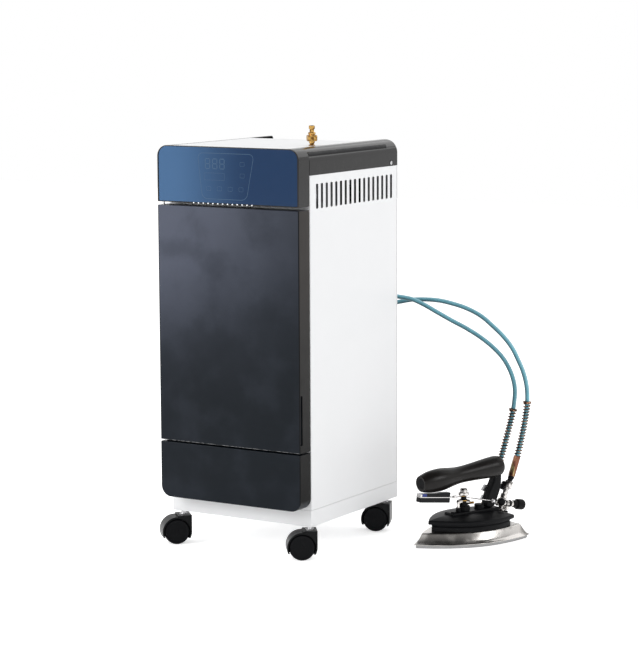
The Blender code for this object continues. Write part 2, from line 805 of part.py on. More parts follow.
def side_panels():
    """A folded sheet: the side, a step in behind the rail, and a ledge under the top panel."""
    low = TRAY_TOP + TOUCH_GAP
    step = RAIL_BOTTOM - TOUCH_GAP
    ledge_x = RAIL_INNER_X - TOP_LEDGE_WIDTH
    centre = (HALF_WIDTH - RAIL_EDGE_RADIUS, CABINET_TOP - RAIL_EDGE_RADIUS)
    outer_radius = WEB_OUTER_X - centre[0]
    inner_radius = outer_radius - SHEET
    outer_turn = math.degrees(math.asin((LEDGE_TOP - centre[1]) / outer_radius))
    inner_turn = math.degrees(math.asin((LEDGE_TOP - SHEET - centre[1]) / inner_radius))
    outline = [(HALF_WIDTH, low), (HALF_WIDTH, step), (WEB_OUTER_X, step)]
    outline += arc(centre, outer_radius, 0, outer_turn, 3)
    outline += [(ledge_x, LEDGE_TOP), (ledge_x, LEDGE_TOP - SHEET)]
    outline += arc(centre, inner_radius, inner_turn, 0, 3)
    outline += [
        (WEB_OUTER_X - SHEET, step - SHEET),
        (HALF_WIDTH - SHEET, step - SHEET),
        (HALF_WIDTH - SHEET, low),
    ]
    item = prism([outline], PANEL_FRONT, PANEL_BACK, "XZ")
    notch_y = CABINET_DEPTH - REAR_CORNER_RADIUS
    notch_z = CABINET_TOP - REAR_CORNER_RADIUS
    cut(item, box((0, notch_y, notch_z), (CABINET_WIDTH, CABINET_DEPTH, CABINET_TOP)))
    half = SLOT_WIDTH / 2
    radius = SLOT_CORNER_RADIUS
    for i in range(SLOT_COUNT):
        y = FIRST_SLOT_Y + i * SLOT_PITCH
        slot = rounded_outline((y - half, SLOT_TOP - SLOT_HEIGHT), (y + half, SLOT_TOP), radius, radius, 1)
        cut(item, prism([slot], HALF_WIDTH - CUT_OVERRUN, HALF_WIDTH + CUT_OVERRUN, "YZ"))
    screw_y = CABINET_DEPTH - SCREW_SETBACK
    screw_z = RAIL_BOTTOM + SCREW_RISE
    hole = SCREW_SHANK_RADIUS + TOUCH_GAP
    cut(item, rod((HALF_WIDTH - CUT_OVERRUN, screw_y, screw_z), (HALF_WIDTH, screw_y, screw_z), hole, 12))
    right = finish_part(item, "side_panel_right", "white_paint")
    mirrored(right, "side_panel_left", "white_paint")


def rear_panel():
    low = (-HALF_WIDTH, TRAY_TOP + TOUCH_GAP)
    high = (HALF_WIDTH, RAIL_BOTTOM - TOUCH_GAP)
    port = NIPPLE_RADIUS + TOUCH_GAP
    loops = [
        rounded_outline(low, high, 0, 0),
        circle((MANIFOLD_X, STEAM_OUTLET_HEIGHT), port),
        circle((MANIFOLD_X, RETURN_INLET_HEIGHT), port),
        circle((GLAND_X, GLAND_HEIGHT), GLAND_THREAD_RADIUS + TOUCH_GAP),
    ]
    item = prism(loops, CABINET_DEPTH - SHEET, CABINET_DEPTH, "XZ")
    return finish_part(item, "rear_panel", "white_paint")


def top_panel():
    """The sheet lies on the side panels' ledges and turns down at the back."""
    radius = REAR_CORNER_RADIUS - TOP_RECESS
    centre = (CABINET_DEPTH - radius, TOP_PANEL_TOP - radius)
    outer = [(HOUSING_LIP + TOUCH_GAP, TOP_PANEL_TOP)]
    outer += arc(centre, radius, 90, 0)
    outer.append((CABINET_DEPTH, RAIL_BOTTOM))
    inner = [(CABINET_DEPTH - SHEET, RAIL_BOTTOM)]
    inner += arc(centre, radius - SHEET, 0, 90)
    inner.append((HOUSING_LIP + TOUCH_GAP, TOP_PANEL_UNDERSIDE))
    edge_x = RAIL_INNER_X - TOUCH_GAP
    item = prism([outer + inner], -edge_x, edge_x, "YZ")
    hole = RELIEF_SPIGOT_RADIUS + TOUCH_GAP
    low = (RELIEF_X, RELIEF_Y, TOP_PANEL_UNDERSIDE - CUT_OVERRUN)
    high = (RELIEF_X, RELIEF_Y, TOP_PANEL_TOP + CUT_OVERRUN)
    cut(item, rod(low, high, hole, SMALL_SEGMENTS))
    return finish_part(item, "top_panel", "white_paint")


def rail_block(inset, lip_bottom):
    """The rail's outer form, or with an inset its hollow, which is open below and inwards."""
    outer_x = HALF_WIDTH - inset
    top = CABINET_TOP - inset
    back = CABINET_DEPTH - inset
    edge_radius = RAIL_EDGE_RADIUS - inset
    corner_radius = REAR_CORNER_RADIUS - inset
    front = FRONT_DEPTH + TOUCH_GAP
    low = RAIL_BOTTOM
    inner_x = RAIL_INNER_X
    if inset > 0:
        front -= CUT_OVERRUN
        low -= CUT_OVERRUN
    section = [(outer_x, low)]
    section += arc((outer_x - edge_radius, top - edge_radius), edge_radius, 0, 90)
    if inset > 0:
        section += [(inner_x + inset, top), (inner_x + inset, lip_bottom)]
        section += [(inner_x - CUT_OVERRUN, lip_bottom), (inner_x - CUT_OVERRUN, low)]
    else:
        section += [(inner_x, top), (inner_x, low)]
    item = prism([section], front, back, "XZ")
    side = [(front, low), (back, low)]
    side += arc((back - corner_radius, top - corner_radius), corner_radius, 0, 90)
    side.append((front, top))
    margin = CUT_OVERRUN + CUT_OVERRUN
    return common(item, prism([side], inner_x - margin, HALF_WIDTH + margin, "YZ"))


def top_rails():
    item = rail_block(0, TOP_PANEL_UNDERSIDE)
    cut(item, rail_block(RAIL_WALL, TOP_PANEL_UNDERSIDE))
    screw_y = CABINET_DEPTH - SCREW_SETBACK
    screw_z = RAIL_BOTTOM + SCREW_RISE
    start = (HALF_WIDTH - CUT_OVERRUN, screw_y, screw_z)
    end = (HALF_WIDTH + CUT_OVERRUN, screw_y, screw_z)
    cut(item, rod(start, end, SCREW_SHANK_RADIUS + TOUCH_GAP, SMALL_SEGMENTS))
    right = finish_part(item, "top_rail_right", "black_rail")
    mirrored(right, "top_rail_left", "black_rail")
    head = HALF_WIDTH + TOUCH_GAP
    profile = [
        (0, SCREW_HEAD_HEIGHT),
        (SCREW_HEAD_RADIUS / 2, SCREW_HEAD_HEIGHT),
        (SCREW_HEAD_RADIUS, 0),
        (SCREW_SHANK_RADIUS, 0),
        (SCREW_SHANK_RADIUS, -SCREW_REACH),
        (0, -SCREW_REACH),
    ]
    screw = turned(profile, (head, screw_y, screw_z), (1, 0, 0), SMALL_SEGMENTS)
    screw = finish_part(screw, "rail_screw_right", "steel")
    mirrored(screw, "rail_screw_left", "steel")


def control_housing():
    low = (-HALF_WIDTH, HOUSING_BOTTOM)
    high = (HALF_WIDTH, CABINET_TOP)
    back = FRONT_DEPTH - TOUCH_GAP
    item = prism([rounded_outline(low, high, 0, FRONT_CORNER_RADIUS)], 0, back, "XZ")
    wall = HOUSING_WALL
    cavity_front = GLASS_THICKNESS + RUNNING_GAP + wall
    cavity_top = TOP_PANEL_UNDERSIDE - TOUCH_GAP - wall
    cavity = rounded_outline(
        (wall - HALF_WIDTH, HOUSING_BOTTOM + wall), (HALF_WIDTH - wall, cavity_top), 0, FRONT_CORNER_RADIUS - wall
    )
    cut(item, prism([cavity], cavity_front, FRONT_DEPTH + CUT_OVERRUN, "XZ"))
    cut(item, prism([glass_outline(TOUCH_GAP)], -CUT_OVERRUN, GLASS_THICKNESS + RUNNING_GAP, "XZ"))
    seat_low = (-RAIL_INNER_X, HOUSING_LIP, TOP_PANEL_UNDERSIDE - TOUCH_GAP)
    seat_high = (RAIL_INNER_X, FRONT_DEPTH + CUT_OVERRUN, CABINET_TOP + CUT_OVERRUN)
    cut(item, box(seat_low, seat_high))
    hole_low = (HINGE_X, HINGE_Y, HOUSING_BOTTOM - CUT_OVERRUN)
    hole_high = (HINGE_X, HINGE_Y, HOUSING_BOTTOM + wall + CUT_OVERRUN)
    cut(item, rod(hole_low, hole_high, HINGE_PIN_RADIUS + TOUCH_GAP, SMALL_SEGMENTS))
    finish_part(item, "control_housing", "black_rail")
    glass = prism([glass_outline(0)], TOUCH_GAP, GLASS_THICKNESS + TOUCH_GAP, "XZ")
    finish_part(glass, "control_glass", "blue_glass")
    block_front = cavity_front + TOUCH_GAP
    board_front = block_front + DISPLAY_BLOCK_DEPTH
    middle = (HOUSING_BOTTOM + cavity_top) / 2
    board_low = (-DISPLAY_WIDTH / 2, board_front, middle - DISPLAY_HEIGHT / 2)
    board_high = (DISPLAY_WIDTH / 2, board_front + BOARD_THICKNESS, middle + DISPLAY_HEIGHT / 2)
    block_low = (-DISPLAY_BLOCK_WIDTH / 2, block_front, middle - DISPLAY_BLOCK_HEIGHT / 2)
    block_high = (DISPLAY_BLOCK_WIDTH / 2, board_front + BOARD_THICKNESS / 2, middle + DISPLAY_BLOCK_HEIGHT / 2)
    board = join(box(board_low, board_high), box(block_low, block_high))
    finish_part(board, "display_board", "board_green")


def glass_outline(margin):
    border = GLASS_BORDER - margin
    low = (border - HALF_WIDTH, HOUSING_BOTTOM + GLASS_BORDER / 2 - margin)
    high = (HALF_WIDTH - border, CABINET_TOP - GLASS_BORDER / 2 + margin)
    radius = FRONT_CORNER_RADIUS - border
    return rounded_outline(low, high, SEAT_CORNER_RADIUS, radius)


def front_shell(low_z, high_z, back, bottom_radius):
    """A moulded front panel: closed in front and on four sides, open at the back."""
    outline = rounded_outline((-HALF_WIDTH, low_z), (HALF_WIDTH, high_z), bottom_radius, 0)
    item = prism([outline], 0, back, "XZ")
    wall = DOOR_WALL
    radius = bottom_radius - wall if bottom_radius > 0 else 0
    inner = rounded_outline((wall - HALF_WIDTH, low_z + wall), (HALF_WIDTH - wall, high_z - wall), radius, 0)
    return cut(item, prism([inner], wall, back + CUT_OVERRUN, "XZ"))


def hinge_hole(z):
    start = (HINGE_X, HINGE_Y, z - CUT_OVERRUN)
    end = (HINGE_X, HINGE_Y, z + CUT_OVERRUN)
    return rod(start, end, HINGE_PIN_RADIUS + TOUCH_GAP, SMALL_SEGMENTS)


def hinge_pin(name, head_z, up):
    """A pin whose head lies inside the fixed piece and whose shank reaches into the door."""
    seam = DOOR_TOP_SEAM if up < 0 else DOOR_BOTTOM_SEAM
    reach = DOOR_WALL + TOUCH_GAP + seam + HINGE_REACH
    profile = [
        (0, HINGE_HEAD_HEIGHT),
        (HINGE_HEAD_RADIUS, HINGE_HEAD_HEIGHT),
        (HINGE_HEAD_RADIUS, 0),
        (HINGE_PIN_RADIUS, 0),
        (HINGE_PIN_RADIUS, -reach),
        (0, -reach),
    ]
    pin = turned(profile, (HINGE_X, HINGE_Y, head_z), (0, 0, -up), SMALL_SEGMENTS)
    return finish_part(pin, name, "steel")


def front_door():
    item = front_shell(DOOR_BOTTOM, DOOR_TOP, FRONT_DEPTH - DOOR_BACK_GAP, 0)
    pocket_low = DOOR_BOTTOM + GRIP_POCKET_RISE
    pocket_high = pocket_low + GRIP_POCKET_HEIGHT
    pocket_front = GRIP_POCKET_SETBACK
    pocket_back = pocket_front + GRIP_POCKET_WIDTH
    wall = DOOR_WALL
    inner_x = HALF_WIDTH - GRIP_POCKET_DEPTH
    block_low = (inner_x - wall, pocket_front - wall, pocket_low - wall)
    block_high = (HALF_WIDTH - wall / 2, pocket_back + wall, pocket_high + wall)
    join(item, box(block_low, block_high))
    cut(item, box((inner_x, pocket_front, pocket_low), (HALF_WIDTH + CUT_OVERRUN, pocket_back, pocket_high)))
    cut(item, hinge_hole(DOOR_BOTTOM), hinge_hole(DOOR_TOP))
    finish_part(item, "front_door", "charcoal_door", origin=(HINGE_X, HINGE_Y, DOOR_BOTTOM))
    lower = front_shell(LOWER_PANEL_BOTTOM, LOWER_PANEL_TOP, FRONT_DEPTH - TOUCH_GAP, FRONT_CORNER_RADIUS)
    cut(lower, hinge_hole(LOWER_PANEL_TOP))
    finish_part(lower, "lower_front_panel", "charcoal_door")
    hinge_pin("door_hinge_pin_upper", HOUSING_BOTTOM + HOUSING_WALL + TOUCH_GAP, -1)
    hinge_pin("door_hinge_pin_lower", LOWER_PANEL_TOP - DOOR_WALL - TOUCH_GAP, 1)


def relief_valve():
    """A brass valve: spigot through the top panel, flange, hexagonal nut and a slim outlet."""
    base = TOP_PANEL_TOP + TOUCH_GAP
    flange = RELIEF_HEIGHT / 5
    nut = RELIEF_HEIGHT / 3
    foot = RELIEF_FLANGE_RADIUS
    profile = [
        (0, RELIEF_HEIGHT),
        (RELIEF_STEM_RADIUS, RELIEF_HEIGHT),
        (RELIEF_STEM_RADIUS, flange + nut + flange / 2),
        (foot, flange + nut + flange / 2),
        (foot, flange + nut - TOUCH_GAP),
        (foot, flange),
        (foot, 0),
        (RELIEF_SPIGOT_RADIUS, 0),
        (RELIEF_SPIGOT_RADIUS, -RELIEF_SPIGOT_LENGTH),
        (0, -RELIEF_SPIGOT_LENGTH),
    ]
    item = turned(profile, (RELIEF_X, RELIEF_Y, base), (0, 0, 1), SMALL_SEGMENTS)
    low = (RELIEF_X, RELIEF_Y, base + flange)
    high = (RELIEF_X, RELIEF_Y, base + flange + nut)
    join(item, rod(low, high, RELIEF_NUT_RADIUS, 6))
    finish_part(item, "relief_valve", "brass")
    return base - RELIEF_SPIGOT_LENGTH


# Inside the cabinet
def boiler_and_jacket(riser_top):
    floor = TRAY_FLOOR + TOUCH_GAP
    skirt = BOILER_SKIRT_HEIGHT
    collar = skirt + COLLAR_RISE
    collar_radius = BOILER_RADIUS + BOILER_COLLAR
    height = skirt + BOILER_HEIGHT
    boss = BOILER_BOSS_RADIUS
    skirt_radius = BOILER_RADIUS - BOILER_SKIRT_INSET
    profile = [
        (0, height + BOILER_BOSS_HEIGHT),
        (boss, height + BOILER_BOSS_HEIGHT),
        (boss, height),
        (BOILER_RADIUS * 3 / 4, height - BOILER_DOME / 3),
        (BOILER_RADIUS, height - BOILER_DOME),
        (BOILER_RADIUS, collar),
        (collar_radius, collar),
        (collar_radius, collar - COLLAR_HEIGHT),
        (BOILER_RADIUS, collar - COLLAR_HEIGHT),
        (BOILER_RADIUS, skirt),
        (skirt_radius, skirt - BOILER_SKIRT_INSET),
        (skirt_radius, 0),
        (0, 0),
    ]
    item = turned(profile, (BOILER_X, BOILER_Y, floor))
    inlet_z = floor + skirt + INLET_BOSS_RISE
    inlet_y = BOILER_Y - BOILER_RADIUS
    inlet_end = inlet_y - INLET_BOSS_LENGTH
    join(item, rod((BOILER_X, inlet_y + BOILER_WALL, inlet_z), (BOILER_X, inlet_end, inlet_z), INLET_BOSS_RADIUS, 12))
    hollow_low = (BOILER_X, BOILER_Y, floor + skirt + BOILER_WALL)
    hollow_high = (BOILER_X, BOILER_Y, floor + height - BOILER_DOME - BOILER_WALL)
    cut(item, rod(hollow_low, hollow_high, BOILER_RADIUS - BOILER_WALL, SMALL_SEGMENTS))
    bore_start = (BOILER_X, inlet_y + BOILER_WALL + CUT_OVERRUN, inlet_z)
    cut(item, rod(bore_start, (BOILER_X, inlet_end - CUT_OVERRUN, inlet_z), INLET_BOSS_BORE, 8))
    top = floor + height
    riser_x = BOILER_X + RISER_OFFSET_X
    riser_y = BOILER_Y + RISER_OFFSET_Y
    bend = top + RISER_SETBACK
    rise = riser_top - TOUCH_GAP
    knee = rise - RISER_SETBACK
    route = smooth_route(
        [
            (riser_x, riser_y, top),
            (riser_x, riser_y, bend),
            (RELIEF_X, RELIEF_Y, knee),
            (RELIEF_X, RELIEF_Y, rise),
        ],
        (0, 0, 1),
        (0, 0, 1),
        RISER_SETBACK / 2,
    )
    route = [(riser_x, riser_y, top - BOILER_DOME)] + route
    join(item, tube(route, RISER_RADIUS))
    finish_part(item, "boiler", "steel")
    inner = BOILER_RADIUS + TOUCH_GAP
    outer = inner + JACKET_WALL
    low = collar + TOUCH_GAP
    ring = [(outer, low + JACKET_HEIGHT), (outer, low), (inner, low), (inner, low + JACKET_HEIGHT)]
    jacket = turned(ring, (BOILER_X, BOILER_Y, floor), ring=True)
    finish_part(jacket, "induction_jacket", "insulation")
    inlet = Vector((BOILER_X, inlet_end, inlet_z))
    boss_top = Vector((BOILER_X, BOILER_Y, floor + height + BOILER_BOSS_HEIGHT))
    return inlet, boss_top


def nipple(start, direction, length, bore=True):
    """A short open pipe end, drilled from its free end so that no hollow is sealed."""
    direction = Vector(direction)
    start = Vector(start)
    end = start + direction * length
    item = rod(start, end, NIPPLE_RADIUS, SMALL_SEGMENTS)
    if bore:
        cut(item, rod(start + direction * TANK_WALL, end + direction * CUT_OVERRUN, NIPPLE_BORE, 8))
    return item


def water_tank():
    low_x = TANK_LEFT
    low_y = FRONT_DEPTH + SHEET + TANK_FRONT_GAP
    floor = TRAY_FLOOR + TOUCH_GAP
    high_x = TANK_RIGHT
    high_y = low_y + TANK_DEPTH
    top = floor + TANK_HEIGHT
    item = edged_box((low_x, low_y, floor), (high_x, high_y, top), TANK_EDGE)
    neck_x = (low_x + high_x) / 2
    neck_y = low_y + TANK_NECK_SETBACK
    wall = TANK_WALL
    neck_top = top + TANK_NECK_HEIGHT
    join(item, rod((neck_x, neck_y, top - wall), (neck_x, neck_y, neck_top), TANK_NECK_RADIUS))
    inner_edge = TANK_EDGE - wall * (2 - math.sqrt(2))
    inner_low = (low_x + wall, low_y + wall, floor + wall)
    inner_high = (high_x - wall, high_y - wall, top - wall)
    cut(item, edged_box(inner_low, inner_high, inner_edge))
    bore = TANK_NECK_RADIUS - wall
    cut(item, rod((neck_x, neck_y, top - wall - CUT_OVERRUN), (neck_x, neck_y, neck_top + CUT_OVERRUN), bore))
    outlet = Vector((high_x, low_y + TANK_OUTLET_SETBACK, floor + TANK_OUTLET_RISE))
    join(item, nipple(outlet - Vector((wall / 2, 0, 0)), (1, 0, 0), NIPPLE_LENGTH + wall / 2))
    back = Vector((high_x - TANK_RETURN_INSET, high_y - TANK_RETURN_INSET, top))
    join(item, nipple(back - Vector((0, 0, wall / 2)), (0, 0, 1), NIPPLE_LENGTH + wall / 2))
    finish_part(item, "water_tank", "tank_plastic")
    cap_top = TANK_CAP_HEIGHT
    inner = TANK_NECK_RADIUS + TOUCH_GAP
    profile = [
        (0, cap_top),
        (TANK_CAP_RADIUS - TANK_CAP_WALL, cap_top),
        (TANK_CAP_RADIUS, cap_top - TANK_CAP_WALL),
        (TANK_CAP_RADIUS, 0),
        (inner, 0),
        (inner, cap_top - TANK_CAP_WALL),
        (0, cap_top - TANK_CAP_WALL),
    ]
    start = Vector((neck_x, neck_y, neck_top + TOUCH_GAP - (cap_top - TANK_CAP_WALL)))
    cap = turned(profile, start, (0, 0, 1), ROUND_SEGMENTS)
    finish_part(cap, "tank_cap", "black_plastic", origin=start)
    outlet_end = outlet + Vector((NIPPLE_LENGTH, 0, 0))
    return outlet_end, back + Vector((0, 0, NIPPLE_LENGTH))


def feed_pump():
    floor = TRAY_FLOOR + TOUCH_GAP
    low = (PUMP_X - PUMP_LENGTH / 2, PUMP_Y - PUMP_DEPTH / 2, floor)
    high = (PUMP_X + PUMP_LENGTH / 2, PUMP_Y + PUMP_DEPTH / 2, floor + PUMP_HEIGHT)
    item = edged_box(low, high, PUMP_EDGE)
    inlet = Vector((low[0], PUMP_Y, floor + TANK_OUTLET_RISE))
    join(item, rod(inlet + Vector((NIPPLE_LENGTH, 0, 0)), inlet - Vector((NIPPLE_LENGTH, 0, 0)), NIPPLE_RADIUS, 12))
    outlet = Vector((PUMP_X, PUMP_Y, high[2]))
    lift = Vector((0, 0, NIPPLE_LENGTH))
    join(item, rod(outlet - lift, outlet + lift, NIPPLE_RADIUS, SMALL_SEGMENTS))
    finish_part(item, "feed_pump", "black_plastic")
    return inlet - Vector((NIPPLE_LENGTH, 0, 0)), outlet + lift


def pipe_between(name, start, start_way, end, end_way, middle=(), colour="steel"):
    """A pipe whose ends lie a touch gap from the faces that they meet, square to them."""
    start_way = Vector(start_way)
    end_way = Vector(end_way)
    first = Vector(start) + start_way * TOUCH_GAP
    last = Vector(end) - end_way * TOUCH_GAP
    lead = PIPE_LEAD
    points = [first + start_way * lead, *[Vector(point) for point in middle], last - end_way * lead]
    route = smooth_route(points, start_way, end_way, lead * 2)
    item = tube([first] + route + [last], PIPE_RADIUS)
    return finish_part(item, name, colour)


def steam_solenoid(boss_top):
    base = boss_top + Vector((0, 0, TOUCH_GAP))
    item = rod(base, base + Vector((0, 0, SOLENOID_BODY_HEIGHT)), SOLENOID_BODY_RADIUS)
    half = SOLENOID_COIL_WIDTH / 2
    coil_low = base + Vector((-half, -half, SOLENOID_BODY_HEIGHT - SHEET))
    coil_high = base + Vector((half, half, SOLENOID_BODY_HEIGHT + SOLENOID_COIL_HEIGHT))
    join(item, box(coil_low, coil_high))
    port = base + Vector((0, 0, SOLENOID_BODY_HEIGHT / 2))
    end = port + Vector((0, SOLENOID_NIPPLE_LENGTH, 0))
    join(item, rod(port, end, NIPPLE_RADIUS, SMALL_SEGMENTS))
    finish_part(item, "steam_solenoid", "brass")
    return end


def power_board():
    """A board on four standoffs against the left side panel, with a ribless heat sink."""
    wall = -INNER_HALF_WIDTH + TOUCH_GAP
    face = wall + STANDOFF_HEIGHT
    low_y = FRONT_DEPTH + POWER_BOARD_SETBACK
    low_z = TRAY_FLOOR + TANK_HEIGHT + POWER_BOARD_RISE
    high_y = low_y + POWER_BOARD_DEPTH
    high_z = low_z + POWER_BOARD_HEIGHT
    item = box((face, low_y, low_z), (face + BOARD_THICKNESS, high_y, high_z))
    sink_y = low_y + (POWER_BOARD_DEPTH - HEAT_SINK_DEPTH) / 2
    sink_z = low_z + (POWER_BOARD_HEIGHT - HEAT_SINK_HEIGHT) / 2
    sink_low = (face + BOARD_THICKNESS / 2, sink_y, sink_z)
    sink_high = (face + HEAT_SINK_REACH, sink_y + HEAT_SINK_DEPTH, sink_z + HEAT_SINK_HEIGHT)
    join(item, box(sink_low, sink_high))
    for y in (low_y + STANDOFF_INSET, high_y - STANDOFF_INSET):
        for z in (low_z + STANDOFF_INSET, high_z - STANDOFF_INSET):
            join(item, rod((wall, y, z), (face + BOARD_THICKNESS / 2, y, z), STANDOFF_RADIUS, 8))
    finish_part(item, "power_board", "board_green")


def cooling_fan():
    """The fan stands behind the right side's vents, and its rotor turns about X."""
    outer_x = INNER_HALF_WIDTH - TOUCH_GAP
    inner_x = outer_x - FAN_DEPTH
    y = FRONT_DEPTH + FAN_SETBACK
    z = SLOT_TOP - SLOT_HEIGHT / 2
    half = FAN_SIZE / 2
    square = rounded_outline((y - half, z - half), (y + half, z + half), PUMP_EDGE, PUMP_EDGE, 2)
    frame = prism([square, circle((y, z), FAN_BORE, ROUND_SEGMENTS)], inner_x, outer_x, "YZ")
    spoke_end = FAN_BORE + TANK_WALL
    for i in range(3):
        angle = math.radians(90 + 120 * i)
        along = Vector((0, math.cos(angle), math.sin(angle)))
        spoke = box((-FAN_SPOKE_DEPTH / 2, -FAN_SPOKE_WIDTH / 2, 0), (FAN_SPOKE_DEPTH / 2, FAN_SPOKE_WIDTH / 2, spoke_end))
        matrix = direction_matrix((inner_x + FAN_SPOKE_DEPTH / 2, y, z), along)
        turn = along.cross(Vector((1, 0, 0))).normalized()
        axes = Matrix((Vector((1, 0, 0)), turn, along)).transposed().to_4x4()
        matrix = Matrix.Translation((inner_x + FAN_SPOKE_DEPTH / 2, y, z)) @ axes
        spoke.data.transform(matrix)
        if matrix.determinant() < 0:
            spoke.data.flip_normals()
        join(frame, spoke)
    join(frame, rod((inner_x, y, z), (inner_x + FAN_SPOKE_DEPTH, y, z), FAN_HUB_RADIUS, 16))
    shaft_end = inner_x + FAN_DEPTH / 2
    join(frame, rod((inner_x + FAN_SPOKE_DEPTH / 2, y, z), (shaft_end, y, z), FAN_SHAFT_RADIUS, SMALL_SEGMENTS))
    finish_part(frame, "fan_frame", "black_plastic")
    hub_start = inner_x + FAN_SPOKE_DEPTH + TOUCH_GAP
    hub_end = outer_x - RUNNING_GAP
    rotor = rod((hub_start, y, z), (hub_end, y, z), FAN_HUB_RADIUS, 16)
    middle = (hub_start + hub_end) / 2
    for i in range(FAN_BLADE_COUNT):
        angle = math.tau * i / FAN_BLADE_COUNT
        blade_low = (-FAN_BLADE_THICKNESS / 2, -FAN_BLADE_WIDTH / 2, FAN_HUB_RADIUS - FAN_BLADE_THICKNESS)
        blade_high = (FAN_BLADE_THICKNESS / 2, FAN_BLADE_WIDTH / 2, FAN_BLADE_REACH)
        blade = box(blade_low, blade_high)
        blade.data.transform(Matrix.Rotation(FAN_BLADE_PITCH, 4, "Z"))
        blade.data.transform(Matrix.Translation((middle, y, z)) @ Matrix.Rotation(angle, 4, "X"))
        join(rotor, blade)
    bore = FAN_SHAFT_RADIUS + RUNNING_GAP
    cut(rotor, rod((hub_start - CUT_OVERRUN, y, z), (shaft_end + RUNNING_GAP, y, z), bore, SMALL_SEGMENTS))
    finish_part(rotor, "fan_rotor", "black_plastic", origin=(middle, y, z))


def rear_manifold():
    """A bulkhead plate with two elbows; the hoses leave them towards the cabinet's right."""
    face = CABINET_DEPTH + TOUCH_GAP
    back = face + MANIFOLD_PLATE
    border = MANIFOLD_BORDER
    low = (MANIFOLD_X - border, face, STEAM_OUTLET_HEIGHT - border)
    high = (MANIFOLD_X + border, back, RETURN_INLET_HEIGHT + border)
    item = edged_box(low, high, TOUCH_GAP)
    ends = []
    inner_y = CABINET_DEPTH - SHEET - NIPPLE_LENGTH
    for z, stand_off in ((STEAM_OUTLET_HEIGHT, STEAM_STAND_OFF), (RETURN_INLET_HEIGHT, RETURN_STAND_OFF)):
        y = CABINET_DEPTH + stand_off
        end_x = MANIFOLD_X + ELBOW_REACH
        join(item, rod((MANIFOLD_X, back - MANIFOLD_PLATE / 2, z), (MANIFOLD_X, y, z), ELBOW_RADIUS, 12))
        join(item, rod((MANIFOLD_X - ELBOW_RADIUS, y, z), (end_x, y, z), ELBOW_RADIUS * 1.02, 12))
        join(item, rod((end_x - ELBOW_NUT_LENGTH, y, z), (end_x - TOUCH_GAP, y, z), ELBOW_NUT_RADIUS, 6))
        join(item, rod((MANIFOLD_X, back - MANIFOLD_PLATE / 2, z), (MANIFOLD_X, inner_y, z), NIPPLE_RADIUS, 12))
        ends.append((Vector((end_x, y, z)), Vector((MANIFOLD_X, inner_y, z))))
    finish_part(item, "rear_manifold", "brass")
    thread = GLAND_THREAD_RADIUS
    face = CABINET_DEPTH + TOUCH_GAP
    nut = GLAND_NUT_LENGTH
    bore = GLAND_BORE
    inner = -GLAND_THREAD_LENGTH
    ring = [
        (bore, nut),
        (GLAND_NUT_RADIUS - RAIL_WALL, nut),
        (GLAND_NUT_RADIUS, nut - RAIL_WALL),
        (GLAND_NUT_RADIUS, 0),
        (thread, 0),
        (thread, inner),
        (bore, inner),
    ]
    gland = turned(ring, (GLAND_X, face, GLAND_HEIGHT), (0, 1, 0), SMALL_SEGMENTS, ring=True)
    finish_part(gland, "cable_gland", "black_plastic")
    return ends


# Casters
def caster(name, x, y, heading):
    """A hood with its web, axle and stem, and two wheels; the stem and wheels turn freely."""
    face = Vector((math.cos(math.radians(heading)), math.sin(math.radians(heading)), 0))
    trail = Vector((face.y, -face.x, 0))
    stem = Vector((x, y, 0))
    centre = stem + trail * CASTER_TRAIL + Vector((0, 0, WHEEL_RADIUS))
    back = -trail
    axes = Matrix((back, -face, Vector((0, 0, 1)))).transposed().to_4x4()
    place = Matrix.Translation(centre) @ axes
    half = CASTER_WIDTH / 2
    top = FLOOR_CLEARANCE - HOOD_CLEARANCE - WHEEL_RADIUS
    flat_x = CASTER_TRAIL + HOOD_BACK
    front_angle = 180 + math.degrees(math.asin(HOOD_FRONT_DROP / HOOD_RADIUS))
    outline = arc((0, 0), HOOD_RADIUS, front_angle, 90, 8)
    outline += [(CASTER_TRAIL - HOOD_BACK, HOOD_RADIUS), (CASTER_TRAIL - HOOD_BACK, top), (flat_x, top)]
    outline += arc((0, 0), flat_x, 0, -math.degrees(math.asin(HOOD_SKIRT_DROP / flat_x)), 3)
    hood = prism([outline], -half, half, "XZ")
    web = CASTER_WEB / 2
    pocket = HOOD_RADIUS - HOOD_WALL
    for side in (-1, 1):
        start = (0, side * web, 0)
        end = (0, side * (half + CUT_OVERRUN), 0)
        cut(hood, rod(start, end, pocket, POCKET_SEGMENTS))
    axle = half - WHEEL_EDGE * 2
    join(hood, rod((0, -axle, 0), (0, axle, 0), AXLE_RADIUS, SMALL_SEGMENTS))
    stem_top = FLOOR_CLEARANCE - TOUCH_GAP - WHEEL_RADIUS
    join(hood, rod((CASTER_TRAIL, 0, top - HOOD_WALL), (CASTER_TRAIL, 0, stem_top), STEM_RADIUS, SMALL_SEGMENTS))
    hood.data.transform(place)
    finish_part(hood, "caster_" + name + "_hood", "black_plastic", origin=stem)
    for side, label in ((-1, "outer"), (1, "inner")):
        bore = AXLE_RADIUS + TOUCH_GAP
        inner = web + TOUCH_GAP
        outer = inner + WHEEL_WIDTH
        profile = [
            (0, outer - WHEEL_DISH),
            (WHEEL_RADIUS - WHEEL_EDGE * 2, outer - WHEEL_DISH),
            (WHEEL_RADIUS - WHEEL_EDGE, outer),
            (WHEEL_RADIUS, outer - WHEEL_EDGE),
            (WHEEL_RADIUS, inner),
            (bore, inner),
            (bore, axle + TOUCH_GAP),
            (0, axle + TOUCH_GAP),
        ]
        wheel = turned(profile, (0, 0, 0), (0, side, 0), WHEEL_SEGMENTS)
        wheel.data.transform(place)
        finish_part(wheel, "caster_" + name + "_wheel_" + label, "black_plastic", origin=centre)


